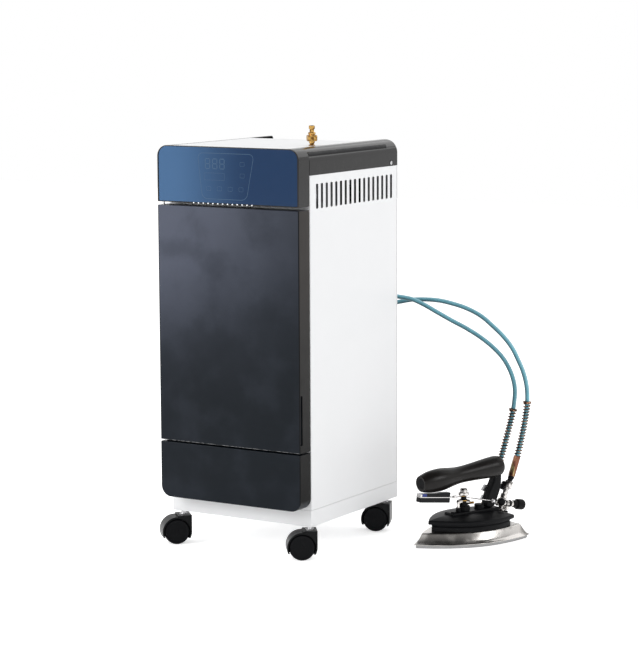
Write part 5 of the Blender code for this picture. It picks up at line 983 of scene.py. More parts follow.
class MACHINE_OT_sheets(bpy.types.Operator):
    """Folds the white sheets: side panels with their slots, rear, top, front frame and tray"""

    bl_idname = "machine.sheets"
    bl_label = "White sheets"

    def execute(self, context):
        settings = context.scene.machine_cabinet
        edge = settings.sheet_edge
        panel_front = FRONT_DEPTH + SHEET + GAP
        panel_back = DEPTH - RAIL_WALL - GAP
        low = TRAY_HIGH.z + GAP
        step = RAIL_BOTTOM - GAP
        half = settings.slot_width / 2
        slot_top = RAIL_BOTTOM - 0.0142
        loops = [rectangle((panel_front, low), (panel_back, step))]
        for i in range(settings.slot_count):
            y = FRONT_DEPTH + 0.0224 + i * settings.slot_pitch
            ends = ((y - half, slot_top - settings.slot_height), (y + half, slot_top))
            loops.append(rectangle(*ends, 0.0016, 0.0016, 5))
        face = prism(loops, HALF_WIDTH - SHEET, HALF_WIDTH, "YZ", edge)
        ledge_top = CABINET_TOP - 0.0066
        web = HALF_WIDTH - RAIL_WALL - GAP
        centre = (HALF_WIDTH - FOLD_RADIUS, CABINET_TOP - FOLD_RADIUS)
        outer = web - centre[0]
        inner = outer - SHEET
        outer_turn = math.degrees(math.asin((ledge_top - centre[1]) / outer))
        inner_turn = math.degrees(math.asin((ledge_top - SHEET - centre[1]) / inner))
        ledge_x = RAIL_INNER - 0.005
        fold = [(HALF_WIDTH - edge, step - SHEET), (HALF_WIDTH - edge, step), (web, step)]
        fold += arc(centre, outer, 0, outer_turn, 8)
        fold += [(ledge_x, ledge_top), (ledge_x, ledge_top - SHEET)]
        fold += arc(centre, inner, inner_turn, 0, 8)
        fold.append((web - SHEET, step - SHEET))
        upper = prism([fold], panel_front, panel_back)
        far = (HALF_WIDTH + OVER, DEPTH + OVER, CABINET_TOP + OVER)
        notch = block((0, DEPTH - REAR_RADIUS, CABINET_TOP - REAR_RADIUS), far)
        both_sides("side_sheet_{}", gathered(face, cut(upper, notch)), "side_paint", "side_panel_{}")
        fall = 0.0038
        level_end = FRONT_DEPTH + 0.2
        radius = REAR_RADIUS - (CABINET_TOP - TOP_SHEET) - fall
        bend = (DEPTH - radius, TOP_SHEET - fall - radius)
        front = 0.0035 + GAP
        slope = []
        for i in range(1, 12):
            share = i / 12
            height = TOP_SHEET - fall * share * share * (3 - share * 2)
            slope.append((level_end + (bend[0] - level_end) * share, height))
        outline = [(front, TOP_SHEET), (level_end, TOP_SHEET), *slope] + arc(bend, radius, 90, 0, 20)
        outline += [(DEPTH, RAIL_BOTTOM), (DEPTH - SHEET, RAIL_BOTTOM)] + arc(bend, radius - SHEET, 0, 90, 20)
        outline += [(y, z - SHEET) for y, z in reversed(slope)]
        outline += [(level_end, TOP_SHEET - SHEET), (front, TOP_SHEET - SHEET)]
        top = prism([outline], GAP - RAIL_INNER, RAIL_INNER - GAP, "YZ", edge)
        hole = rod((*RELIEF, TOP_SHEET - 0.006), (*RELIEF, TOP_SHEET + 0.006), 0.0053)
        put("top_sheet", cut(top, hole), "white_paint", "top_panel")
        for node in ("base_tray", "front_frame", "rear_panel"):
            redone(node, "white_paint", edge)
        return {"FINISHED"}


def rail_form(inset):
    """The rail's outer form, or with an inset its hollow."""
    outer = HALF_WIDTH - inset
    top = CABINET_TOP - inset
    back = DEPTH - inset
    edge = CROWN_RADIUS - inset
    corner = 0.005 - inset
    lip = TOP_SHEET - SHEET
    over = 0.004 if inset else 0
    front = FRONT_DEPTH + GAP - over
    low = RAIL_BOTTOM - over
    section = [(outer, low)] + arc((outer - edge, top - edge), edge, 0, 90, 14)
    if inset:
        section += [(RAIL_INNER + inset, top), (RAIL_INNER + inset, lip)]
        section += [(RAIL_INNER - over, lip), (RAIL_INNER - over, low)]
    else:
        section += [(RAIL_INNER, top), (RAIL_INNER, low)]
    side = [(front, low), (back, low)] + arc((back - corner, top - corner), corner, 0, 90, 20) + [(front, top)]
    across = prism([side], RAIL_INNER - OVER, HALF_WIDTH + OVER, "YZ")
    return cut(prism([section], front, back), across, operation="INTERSECT")


class MACHINE_OT_rails(bpy.types.Operator):
    """Moulds the two dark top rails and sets their screws"""

    bl_idname = "machine.rails"
    bl_label = "Top rails"

    def execute(self, context):
        settings = context.scene.machine_cabinet
        outer = eased(rail_form(0), settings.rail_edge, 50, 3)
        rail = cut(outer, rail_form(RAIL_WALL))
        crease = []
        for y, z in ((FRONT_DEPTH - 0.002, 0.6465), (DEPTH + 0.002, 0.641)):
            turn = math.asin((z - CABINET_TOP + CROWN_RADIUS) / CROWN_RADIUS)
            out = Vector((math.cos(turn), 0, math.sin(turn)))
            rise = Vector((-out.z, 0, out.x)) * 0.0022
            skin = Vector((HALF_WIDTH - CROWN_RADIUS, y, CABINET_TOP - CROWN_RADIUS)) + out * CROWN_RADIUS
            crease.append([skin - out * 0.0007, skin + out * 0.003 - rise, skin + out * 0.003 + rise])
        rail = cut(rail, lofted(crease))
        place = Vector((HALF_WIDTH, DEPTH - 0.0208, RAIL_BOTTOM + 0.0048))
        reach = Vector((0.004, 0, 0))
        rail = cut(rail, rod(place - reach, place + reach, 0.0017))
        both_sides("rail_{}", rail, "black_rail", "top_rail_{}")
        profile = [
            (0, 0.0012), (0.0012, 0.0012), (0.0024, 0.0009), (0.0032, 0.0002), (0.0032, 0),
            (0.0014, 0), (0.0014, -0.004), (0, -0.004),
        ]
        screw = turned(profile, place + Vector((GAP, 0, 0)), (1, 0, 0), 32, 0.0002)
        head = place + Vector((GAP + 0.0006, 0, 0))
        way = Vector((1, 0, 0))
        deep = Vector((0.004, 0.0016, 0.0003))
        wide = Vector((0.004, 0.0003, 0.0016))
        slots = [block(head - Vector((0, reach.y, reach.z)), head + reach) for reach in (deep, wide)]
        screw = cut(screw, rod(head, head + way * 0.004, 0.0008, 16), *slots)
        profile = [(0.0034, 0.0001), (0.004, 0.0004), (0.0046, 0.0001), (0.0046, -0.0006), (0.0034, -0.0006)]
        rim = turned(profile, place, way, 40, 0.0001, ring=True)
        both_sides("rail_screw_{}_rim", rim, "cover_black")
        both_sides("rail_screw_{}_cross", screw, "bright_zinc", "rail_screw_{}")
        return {"FINISHED"}


def segment_digit(height):
    """The seven flat bars of one digit, from its lower left corner."""
    width = height * 0.54
    bar = height * 0.075
    gap = bar * 0.35
    tall = (height - bar) / 2

    def bar_outline(start, end):
        way = (Vector(end) - Vector(start)).normalized()
        side = Vector((-way.y, way.x)) * bar / 2
        first = Vector(start) + way * gap
        last = Vector(end) - way * gap
        tip = way * bar / 2
        return first, first + tip - side, last - tip - side, last, last - tip + side, first + tip + side

    low = bar / 2
    levels = (low, low + tall, low + tall * 2)
    ends = [((low, z), (width, z)) for z in levels]
    ends += [((x, levels[i]), (x, levels[i + 1])) for x in (low, width) for i in range(2)]
    return [prism([bar_outline(*pair)], -INK, 0) for pair in ends]


def outline_band(points, width):
    """A thin printed line along a closed outline."""
    centre = Vector((sum(x for x, z in points) / len(points), sum(z for x, z in points) / len(points)))
    inner = []
    count = len(points)
    for i, point in enumerate(points):
        before = (Vector(point) - Vector(points[i - 1])).normalized()
        after = (Vector(points[(i + 1) % count]) - Vector(point)).normalized()
        way = (before + after).normalized()
        side = Vector((-way.y, way.x))
        if side.dot(centre - Vector(point)) < 0:
            side = -side
        inner.append(tuple(Vector(point) + side * width))
    return prism([points, inner], -INK, 0)


def hinge_hole(low, high):
    """The bore of a hinge pin, a little past both heights."""
    return rod((*HINGE, low - 0.004), (*HINGE, high + 0.004), 0.0023)


class MACHINE_OT_control_head(bpy.types.Operator):
    """Moulds the control head and sets its glass, its printed display and a row of small lenses with a painted glow"""

    bl_idname = "machine.control_head"
    bl_label = "Control head"

    def execute(self, context):
        settings = context.scene.machine_front
        radius = settings.corner_radius
        outline = rectangle((-HALF_WIDTH, HEAD_BOTTOM), (HALF_WIDTH, CABINET_TOP), 0, radius, 18)
        shell = prism([outline], 0, FRONT_DEPTH - GAP, edge=settings.moulded_edge * 0.6)
        seat = 0.0025
        lip_bottom = TOP_SHEET - SHEET - GAP
        low = (WALL - HALF_WIDTH, HEAD_BOTTOM + WALL)
        cavity = rectangle(low, (HALF_WIDTH - WALL, lip_bottom - WALL), 0, radius - WALL)
        border = 0.0028

        def pane(slack):
            """The glass's outline, or with a slack its seat's."""
            inset = border - slack
            low = (inset - HALF_WIDTH, HEAD_BOTTOM + border / 2 - slack)
            high = (HALF_WIDTH - inset, CABINET_TOP - border / 2 + slack)
            return rectangle(low, high, 0.002, radius - inset, 18)

        shell = cut(
            shell, prism([cavity], seat + WALL, FRONT_DEPTH + OVER), prism([pane(GAP)], -0.004, seat),
            block((-RAIL_INNER, 0.0035, lip_bottom), (RAIL_INNER, FRONT_DEPTH + OVER, CABINET_TOP + OVER)),
            hinge_hole(HEAD_BOTTOM, HEAD_BOTTOM + WALL),
        )
        put("control_head", shell, "black_rail", "control_housing")
        put("touch_glass", prism([pane(0)], GAP, 0.0023, edge=0.0005), "blue_glass", "control_glass")
        digits = gathered(*segment_digit(settings.digit_height))
        digits = repeated(shifted(digits, -0.0412, GAP, 0.6176), 3, "display_print", (0.0137, 0, 0))
        shield = [(-0.0556, 0.643), (0.0515, 0.643), (0.037, 0.57), (-0.047, 0.57)]
        shield = rounded(shield, 0.011, 10, closed=True)
        prints = [digits, shifted(outline_band(shield, 0.0007), 0, GAP, 0)]
        line = 0.00035
        keys = rectangle((-0.0042, -0.0034), (0.0042, 0.0034), 0.0013, 0.0013, 4)
        for x, z, number, step in ((-0.0345, 0.5868, 4, (0.0203, 0, 0)), (0.029, 0.6265, 2, (0, 0, -0.018))):
            prints.append(repeated(shifted(outline_band(keys, line), x, GAP, z), number, "display_print", step))
        window = rectangle((-0.043, 0.6), (-0.0045, 0.6115), 0.001, 0.001, 4)
        prints.append(shifted(outline_band(window, line), 0, GAP, 0))
        put("display_marks", gathered(*prints), "display_print")
        # A row of small white lenses under the control head; their faint emission is a painted glow for the bright dots
        # in the seam.
        profile = [(0, 0.0012), (0.0007, 0.001), (0.0009, 0.0004), (0.0009, -0.0005), (0, -0.0005)]
        lens = turned(profile, (0, 0, 0), (0, -1, 0), 12, 0.0001)
        lens.transform(Matrix.Translation((-0.0633, 0.0003, HEAD_BOTTOM + 0.0004)) @ Matrix.Scale(1.15, 4))
        lamps = repeated(lens, settings.lamp_count, "lamp_lens", (0.0092, 0, 0))
        put("status_lamps", lamps, "lamp_lens")
        redone("display_board", "board_green", 0.0002)
        return {"FINISHED"}


class MACHINE_OT_front_panels(bpy.types.Operator):
    """Moulds the door with its grip pocket, the lower front panel and the hinge pins"""

    bl_idname = "machine.front_panels"
    bl_label = "Door and lower panel"

    def execute(self, context):
        settings = context.scene.machine_front
        edge = settings.moulded_edge
        back = FRONT_DEPTH - SHEET
        low, high = DOOR_LOW.z, DOOR_HIGH.z
        door = prism([rectangle((-HALF_WIDTH, low), (HALF_WIDTH, high))], 0, back, edge=edge)
        hollow = rectangle((WALL - HALF_WIDTH, low + WALL), (HALF_WIDTH - WALL, high - WALL))
        door = cut(door, prism([hollow], WALL, back + OVER))
        pocket_low = low + 0.0123
        pocket_high = low + 0.0918
        inner = HALF_WIDTH - 0.0032
        around = block((inner - WALL, 0.001, pocket_low - WALL), (HALF_WIDTH - 0.001, 0.009, pocket_high + WALL))
        pocket = block((inner, 0.0018, pocket_low), (HALF_WIDTH + 0.006, 0.0072, pocket_high), 0.0016)
        door = cut(united(door, around), pocket, hinge_hole(low, low), hinge_hole(high, high))
        put("door_moulding", door, "charcoal_door", "front_door", "front_door")
        base, top = LOWER_LOW.z, LOWER_HIGH.z
        radius = settings.corner_radius
        outline = rectangle((-HALF_WIDTH, base), (HALF_WIDTH, top), radius, 0, 18)
        lower = prism([outline], 0, FRONT_DEPTH - GAP, edge=edge)
        hollow = rectangle((WALL - HALF_WIDTH, base + WALL), (HALF_WIDTH - WALL, top - WALL), radius - WALL, 0)
        strip = block((0.003 - HALF_WIDTH, 0.014, top - 0.001), (HALF_WIDTH - 0.003, 0.0165, DOOR_LOW.z - GAP))
        lower = cut(united(lower, strip), prism([hollow], WALL, FRONT_DEPTH + OVER), hinge_hole(top, top))
        put("lower_moulding", lower, "charcoal_door", "lower_front_panel")
        for node in ("door_hinge_pin_upper", "door_hinge_pin_lower"):
            redone(node, "bright_zinc", 0.0002)
        return {"FINISHED"}


class MACHINE_OT_relief_valve(bpy.types.Operator):
    """Turns the brass relief valve on the top sheet"""

    bl_idname = "machine.relief_valve"
    bl_label = "Relief valve"

    def execute(self, context):
        x, y = RELIEF
        base = TOP_SHEET + GAP
        profile = [
            (0, 0.0318), (0.0038, 0.0318), (0.0048, 0.031), (0.0048, 0.0262), (0.0036, 0.0256), (0.0036, 0.0226),
            (0.0036, 0.0214), (0.006, 0.0206), (0.006, 0.0176), (0.0046, 0.017),
            (0.0048, 0.0066), (0.0046, 0.0058), (0.0046, 0.0036), (0.0034, 0.003), (0.0034, 0.0016), (0.0052, 0.0012),
            (0.0052, 0), (0.0049, 0), (0.0049, -0.0048), (0, -0.0048),
        ]
        body = turned(profile, (x, y, base), (0, 0, 1), 48)
        nut = hexagon((x, y, base + 0.0068), (x, y, base + 0.0165), 0.0088, 0.0016)
        nut.transform(Matrix.Translation((x, y, 0)) @ Matrix.Rotation(0.35, 4, "Z") @ Matrix.Translation((-x, -y, 0)))
        put("relief_valve_turned", united(body, nut), "brass", "relief_valve", angle=28)
        return {"FINISHED"}


class MACHINE_OT_casters(bpy.types.Operator):
    """Builds the four twin-wheel casters"""

    bl_idname = "machine.casters"
    bl_label = "Casters"

    def execute(self, context):
        for name, (x, y, heading) in CASTERS.items():
            build_caster(context.scene.machine_casters, name, x, y, math.radians(heading))
        return {"FINISHED"}


def build_caster(settings, name, x, y, heading):
    """One caster: hood, stem and two wheels, each riding on its own body."""
    face = Vector((math.cos(heading), math.sin(heading), 0))
    trail = Vector((face.y, -face.x, 0))
    trail_length = 0.013
    radius = settings.wheel_radius
    centre = Vector((x, y, 0)) + trail * trail_length + Vector((0, 0, radius))
    axes = Matrix((-trail, -face, UP)).transposed().to_4x4()
    place = CABINET @ Matrix.Translation(centre) @ axes
    half = 0.0165
    reach = settings.hood_radius
    web = 0.002
    top = TRAY_LOW.z - 0.0048 - radius
    socket = 0.0115
    back_x = trail_length + socket
    front_angle = 180 + math.degrees(math.asin(0.0095 / reach))
    skirt = math.degrees(math.asin(socket / back_x))
    outline = arc((0, 0), reach, front_angle, 90, 30)
    outline += [(trail_length - socket, reach), (trail_length - socket, top), (back_x, top)]
    outline += arc((0, 0), back_x, 0, -skirt, 8)
    hood = prism([outline], -half, half, edge=0.0009)
    for side in (-1, 1):
        pocket = rod((0, side * web, 0), (0, side * (half + 0.004), 0), reach - 0.0024, 64)
        hood = cut(hood, pocket)
    axle = half - 0.003
    hood = gathered(hood, rod((0, -axle, 0), (0, axle, 0), 0.003, 32))
    body = "caster_" + name
    put(body + "_hood_moulding", hood, "hood_nylon", body + "_hood", body, place)
    stem_top = TRAY_LOW.z - GAP - radius
    profile = [
        (0, stem_top), (0.0035, stem_top), (0.0035, top + 0.0016), (0.0068, top + 0.0014),
        (0.0068, top - 0.0005), (0, top - 0.0005),
    ]
    stem = turned(profile, (trail_length, 0, 0), (0, 0, 1), 32, 0.0002)
    put(body + "_stem", stem, "bright_zinc", None, body, place)
    for side, label in ((-1, "outer"), (1, "inner")):
        inner = web + GAP
        outer = inner + settings.wheel_width
        profile = [
            (0, outer - 0.001), (0.0028, outer - 0.001), (0.0033, outer - 0.0014), (0.0158, outer - 0.0014),
            (0.0166, outer - 0.0009), (0.0178, outer - 0.0003), (0.019, outer), (radius, outer - 0.0018),
            (radius, inner + 0.0012), (0.0196, inner), (0.0033, inner), (0.0033, axle + GAP), (0, axle + GAP),
        ]
        wheel = turned(profile, (0, 0, 0), (0, side, 0), 72, 0.0005)
        wheel_body = f"{body}_wheel_{label}"
        put(f"{body}_tread_{label}", wheel, "caster_nylon", wheel_body, wheel_body, place)


class MACHINE_OT_inside(bpy.types.Operator):
    """Dresses the water, steam and electric pieces inside the cabinet and on its back"""

    bl_idname = "machine.inside"
    bl_label = "Inside and rear fittings"

    def execute(self, context):
        rows = (
            ("water_tank", "tank_plastic", 0.0012),
            ("tank_cap", "black_plastic", 0.0006, "tank_cap"),
            ("feed_pump", "black_plastic", 0.0008),
            ("suction_pipe", "steel", 0.0),
            ("feed_pipe", "steel", 0.0),
            ("return_pipe", "steel", 0.0),
            ("steam_pipe", "steel", 0.0),
            ("boiler", "steel", 0.0),
            ("induction_jacket", "insulation", 0.0006),
            ("steam_solenoid", "brass", 0.0004),
            ("power_board", "board_green", 0.0003),
            ("fan_frame", "black_plastic", 0.0003),
            ("fan_rotor", "black_plastic", 0.0, "fan"),
            ("rear_manifold", "brass", 0.0003),
            ("cable_gland", "black_plastic", 0.0004),
        )
        for row in rows:
            redone(*row)
        return {"FINISHED"}


def boat(inset, length, half_width, z, steps=44, start=0.0):
    """The sole's outline drawn in by an inset: a pointed nose, full sides and a nearly straight rear."""
    tip = inset * 1.35
    span = length - tip - inset
    width = half_width - inset
    nose = span * 0.62
    side = []
    for i in range(1, steps + 1):
        s = span * (i / steps) ** 1.4
        if s < nose:
            w = width * (1 - (1 - s / nose) ** 2.128)
        else:
            w = width * (1 - 0.219 * ((s - nose) / (span - nose)) ** 2)
        side.append((tip + s, w))
    corner_s, corner_w = side[-1]
    side[-1] = (corner_s - 0.0016, corner_w + 0.0004)
    side.append((corner_s - 0.0004, corner_w - 0.0006))
    side.append((corner_s, corner_w - 0.0022))
    side.append((corner_s, 0.0))
    ring = [(start + tip, 0, z)]
    ring += [(start + s, -w, z) for s, w in side]
    ring += [(start + s, w, z) for s, w in reversed(side[:-1])]
    return ring


class MACHINE_OT_iron_body(bpy.types.Operator):
    """Builds the iron's sole, its chrome shell and its black cover"""

    bl_idname = "machine.iron_body"
    bl_label = "Iron body"

    def execute(self, context):
        settings = context.scene.machine_iron
        size = (settings.sole_length, settings.sole_half_width)
        base = -IRON_TIP.z
        sole = lofted([
            boat(0.0036, *size, base), boat(0.003, *size, base + 0.0008), boat(0.003, *size, 0.0036),
            boat(0.0033, *size, 0.0038), boat(0.0148, *size, 0.0038), boat(0.0148, *size, 0.0199),
        ])
        port = rod((0.04, 0, base - 0.001), (0.04, 0, base + 0.0016), 0.0016, 16)
        ports = repeated(port, 3, "cast_aluminium", (0.016, 0, 0))
        side_ports = [shifted(ports, 0.012 * k, 0.013 * side, 0) for k in (1, 2) for side in (-k, k)]
        sole = cut(sole, ports, *side_ports)
        put_iron("iron_sole_casting", sole, "cast_aluminium", "iron_soleplate", 30)
        levels = [
            (0.0147, 0.0043), (0.0012, 0.0043), (0.0002, 0.0045), (0.0, 0.0048), (0.0, 0.0052), (0.0003, 0.0055),
            (0.0018, 0.006), (0.0034, 0.0071), (0.005, 0.0088), (0.0066, 0.0112), (0.0082, 0.0141), (0.0097, 0.017),
            (0.011, 0.0199), (0.0117, 0.0213), (0.0125, 0.0219), (0.0138, 0.0222), (0.02, 0.0222),
        ]
        shell = lofted([boat(inset, *size, z) for inset, z in levels])
        hollow = lofted([boat(0.0145, *size, z) for z in (0, 0.0202)])
        put_iron("iron_chrome_shell", cut(shell, hollow), "chrome_shell", "iron_shell", 50)
        cover_size = (0.146, 0.0545)
        low, high = 0.0342, 0.0414
        rim = [
            (0.003, low), (0.0012, low + 0.0002), (0.0003, low + 0.0008), (0.0, low + 0.0018), (0.0, high - 0.003),
            (0.0004, high - 0.0017), (0.0013, high - 0.0007), (0.0028, high - 0.0002), (0.005, high + 0.0003),
            (0.01, high + 0.0016), (0.016, high + 0.0028), (0.023, high + 0.0036), (0.032, high + 0.004),
        ]
        cover = lofted([boat(inset, *cover_size, z, start=0.0292) for inset, z in rim])
        skirt = [
            (0.005, 0.0225), (0.005, 0.0285), (0.0056, 0.03), (0.0062, 0.0306), (0.0056, 0.0312),
            (0.005, 0.0318), (0.005, 0.035),
        ]
        skirt = lofted([boat(inset, *cover_size, z, start=0.0292) for inset, z in skirt])
        spine = block((0.071, -0.0125, 0.0378), (0.1687, 0.0125, 0.049), 0.0022)
        profile = [(0, 0.0078), (0.007, 0.0078), (0.0082, 0.0068), (0.0082, -0.001), (0, -0.001)]
        boss = block((0.1717, -0.0085, 0.0352), (0.1892, 0.0085, 0.0392), 0.0012)
        cap = turned(profile, (0.1345, 0, 0.049), fillet=0.0006)
        put_iron("iron_cover_moulding", gathered(cover, skirt, spine, boss, cap), "cover_black", "iron_cover")
        return {"FINISHED"}


def grip_profile(settings):
    """The grip's radius along its length, through the measured stations."""
    shares = (0, 0.01, 0.05, 0.1, 0.17, 0.22, 0.29, 0.36, 0.44, 0.52, 0.61, 0.73, 0.86, 0.93, 0.975, 0.993)
    sizes = (0.685, 0.73, 0.835, 0.93, 0.99, 0.995, 0.947, 0.85, 0.76, 0.743, 0.775, 0.845, 0.915, 0.92, 0.835, 0.64)
    tall, wide = settings.grip_length, settings.grip_radius
    points = [(share * tall, size * wide, 0) for share, size in zip(shares, sizes)]
    return smooth_route(points, (0.3, 1, 0), (0.2, -1, 0), 0.0022)


class MACHINE_OT_iron_handle(bpy.types.Operator):
    """Turns the grip, and builds its post and the trigger lever"""

    bl_idname = "machine.iron_handle"
    bl_label = "Iron handle"

    def execute(self, context):
        settings = context.scene.machine_iron
        slope = math.atan(0.078)
        along = Vector((math.cos(slope), 0, math.sin(slope)))
        start = Vector((0.0135, 0, 0.1035))
        line = grip_profile(settings)
        dish = line[0].y - 0.001
        profile = [(0, settings.grip_length)] + [(point.y, point.x) for point in reversed(line)]
        profile += [(dish, 0.0), (dish - 0.0006, 0.0006), (0, 0.0006)]
        grip = turned(profile, start, along, 72, 0)
        put_iron("iron_grip_turned", grip, "grip_plastic", "iron_grip", 50)
        profile = [(0, 0.0004), (0.0085, 0.0004), (0.0095, 0.0009), (0.0095, 0.002), (0, 0.002)]
        button = turned(profile, start, along, fillet=0.0002)
        put_iron("iron_grip_end", button, "cover_black")
        build_post()
        build_trigger()
        return {"FINISHED"}


def build_post():
    """The black post with its chrome bracket and the pivot screw."""
    foot = COVER_TOP
    tall = 0.1162 - foot
    front = [(0, 0.0175), (0.2, 0.0156), (0.33, 0.0125), (0.44, 0.009), (0.55, 0.0045), (0.68, 0), (1, 0)]
    rear = [(0, 0.0152), (0.15, 0.01), (0.25, 0.0069), (0.37, 0.0036), (0.5, 0.0006), (0.65, 0), (1, 0)]
    outline = [(0.1613 - inset, foot + tall * share) for share, inset in front]
    outline += [(0.1757 - inset, foot + tall * share) for share, inset in reversed(rear)]
    smooth = rounded(outline, 0.006, 4, closed=True)
    post = prism([smooth], -0.008, 0.008, edge=0.0024)
    clear = rod((0.1345, 0, foot - 0.004), (0.1345, 0, foot + 0.0078), 0.0085)
    put_iron("iron_post_moulding", cut(post, clear), "cover_black", "iron_post")
    pin = turned(
        [(0, 0.0154), (0.0016, 0.0154), (0.0027, 0.0146), (0.0027, 0.014), (0.0013, 0.014), (0.0013, 0.0), (0, 0)],
        (LEVER_PIVOT[0], 0, LEVER_PIVOT[1]), (0, -1, 0), 32, 0.0002,
    )
    plate = [(0.1503, 0.0862), (0.156, 0.0842), (0.15, 0.0742), (0.143, 0.0768)]
    tab = [(0.1415, 0.0622), (0.15, 0.06), (0.15, 0.069), (0.1455, 0.069)]
    outlines = [rounded(points, 0.0012, closed=True) for points in (plate, tab)]
    brackets = [prism([outline], 0.0035, 0.008, edge=0.0006) for outline in outlines]
    put_iron("iron_post_metal", gathered(pin, *brackets), "bright_zinc", angle=30)


def build_trigger():
    """The lever: a bright plate between two black pads with a blue insert, and its wire."""
    slope = (0.0755 - 0.0832) / (0.07 - 0.0087)
    front = Vector((0.0087, 0.0832))
    tilt = Matrix.Translation((front.x, 0, front.y)) @ Matrix.Rotation(-math.atan(slope), 4, "Y")
    span = 0.0618
    lower = block((0.0004, -0.006, -0.0087), (span, 0.006, -0.0009), 0.0011)
    ridge = [(0.0138, 0.0009), (span, 0.0009), (span, 0.0084), (0.047, 0.0078), (0.034, 0.006), (0.0138, 0.0057)]
    upper = prism([rounded(ridge, 0.001, closed=True)], -0.0056, 0.0056, edge=0.001)
    groove = block((0.018, -0.007, 0.0054), (0.0188, 0.007, 0.0064))
    grooves = repeated(groove, 4, "black_plastic", (0.0045, 0, 0))
    pads = gathered(lower, cut(upper, grooves))
    pads.transform(tilt)
    put_iron("iron_lever_pads", pads, "black_plastic", "iron_trigger", body="iron_trigger")
    insert = block((0.0042, -0.0057, 0.0008), (0.0135, 0.0057, 0.0056), 0.0006)
    insert.transform(tilt)
    put_iron("iron_lever_insert", insert, "lever_insert", body="iron_trigger")
    plate = block((0.0, -0.006, -0.0008), (span + 0.001, 0.006, 0.0008), 0.0004)
    nose = block((0.0004, -0.0058, 0.0005), (0.004, 0.0058, 0.0054), 0.0008)
    metal = gathered(plate, nose)
    metal.transform(tilt)
    clip = block((0.08, -0.0034, 0.0722), (0.0872, 0.0034, 0.0764), 0.0008)
    pivot_s, pivot_z = LEVER_PIVOT
    eye_v = -0.0097
    drop = (pivot_z - 0.0722) / (pivot_s - 0.1)
    path = [(0.0644, 0, 0.0762), (0.07, 0, 0.0755), (0.1, 0, 0.0722), (0.112, 0, pivot_z - drop * (pivot_s - 0.112))]
    path += [(0.14, eye_v, pivot_z - drop * (pivot_s - 0.14)), (0.152, eye_v, pivot_z - drop * 0.002)]
    wire = swept(smooth_route(path, (1, 0, -0.1), (1, 0, drop), 0.004), lambda around, distance: 0.001, 12)
    profile = [(0.0016, 0.0014), (0.003, 0.0014), (0.003, -0.0014), (0.0016, -0.0014)]
    eye = turned(profile, (pivot_s, eye_v, pivot_z), (0, 1, 0), 32, ring=True)
    put_iron("iron_lever_metal", gathered(metal, wire, eye, clip), "polished_steel", body="iron_trigger")


class MACHINE_OT_iron_valves(bpy.types.Operator):
    """Turns the steam valve, the inlet valve with its knob, and both hose sleeves"""

    bl_idname = "machine.iron_valves"
    bl_label = "Iron valves"

    def execute(self, context):
        build_steam_valve()
        build_inlet_valve()
        build_sleeves(context.scene.machine_hoses)
        return {"FINISHED"}


def build_steam_valve():
    """The valve under the lever: black base nut, plated body with a side port, nuts and a dome."""
    s = 0.1018
    base = COVER_TOP
    axis = (s, 0, 0)
    nut = hexagon((s, 0, base), (s, 0, base + 0.0082), 0.0114, 0.001)
    bolt = hexagon((0.076, -0.0062, 0.0488), (0.076, -0.0062, 0.0518), 0.0048, 0.0006)
    profile = [(0, 0.0757), (0.0046, 0.0757), (0.0046, 0.069), (0.006, 0.0684), (0.0068, 0.0674), (0.0068, 0.057)]
    stem = turned([*profile, (0, 0.057)], axis, fillet=0.0004)
    slot = block((s - 0.016, -0.0015, 0.069), (s + 0.016, 0.0015, 0.0744))
    foot = hexagon((s - 0.0132, -0.003, base - 0.0002), (s - 0.0132, -0.003, 0.056), 0.0046, 0.0006)
    put_iron("iron_valve_base", gathered(nut, bolt, cut(stem, slot), foot), "cover_black", angle=25)
    dome = turned(
        [
            (0, 0.085), (0.002, 0.085), (0.0024, 0.0868), (0.0046, 0.0866), (0.0062, 0.0848), (0.0067, 0.0828),
            (0.0062, 0.08), (0.006, 0.076), (0, 0.076),
        ],
        axis,
    )
    flange = hexagon((s, 0, 0.075), (s, 0, 0.0792), 0.0102, 0.001)
    mouth = Vector((s, 0, 0.065))
    port = turned(
        [
            (0, 0.0095), (0.0022, 0.0095), (0.0022, 0.014), (0.0036, 0.0142), (0.0044, 0.0134), (0.0044, 0.007),
            (0.0034, 0.0064), (0.0034, 0.005), (0, 0.005),
        ],
        mouth, (-0.97, -0.23, 0), 32, 0.0003,
    )
    leg = rod((s - 0.0132, -0.003, 0.056), (s - 0.0132, -0.003, 0.066), 0.0027, 24)
    profile = [(0, 0.0108), (0.003, 0.0108), (0.0038, 0.01), (0.0038, 0.005), (0, 0.005)]
    lug = turned(profile, mouth, (0.62, -0.78, -0.1), 32)
    body = gathered(united(dome, flange), port, leg, lug)
    put_iron("iron_valve_body", body, "plated_steel", "iron_steam_valve", 28)
    rings = []
    for z in (0.0746, 0.0668):
        profile = [(0.004, z + 0.0007), (0.0074, z + 0.0005), (0.0074, z - 0.0005), (0.004, z - 0.0007)]
        rings.append(turned(profile, axis, fillet=0.0002, ring=True))
    tail = rod((s + 0.005, 0, 0.0605), (s + 0.0205, 0, 0.06), 0.0021, 16)
    path = block((s - 0.016, -0.002, 0.07), (s + 0.016, 0.002, 0.0758))
    rings[0] = cut(rings[0], path)
    put_iron("iron_valve_seal", gathered(*rings, tail), "brass")


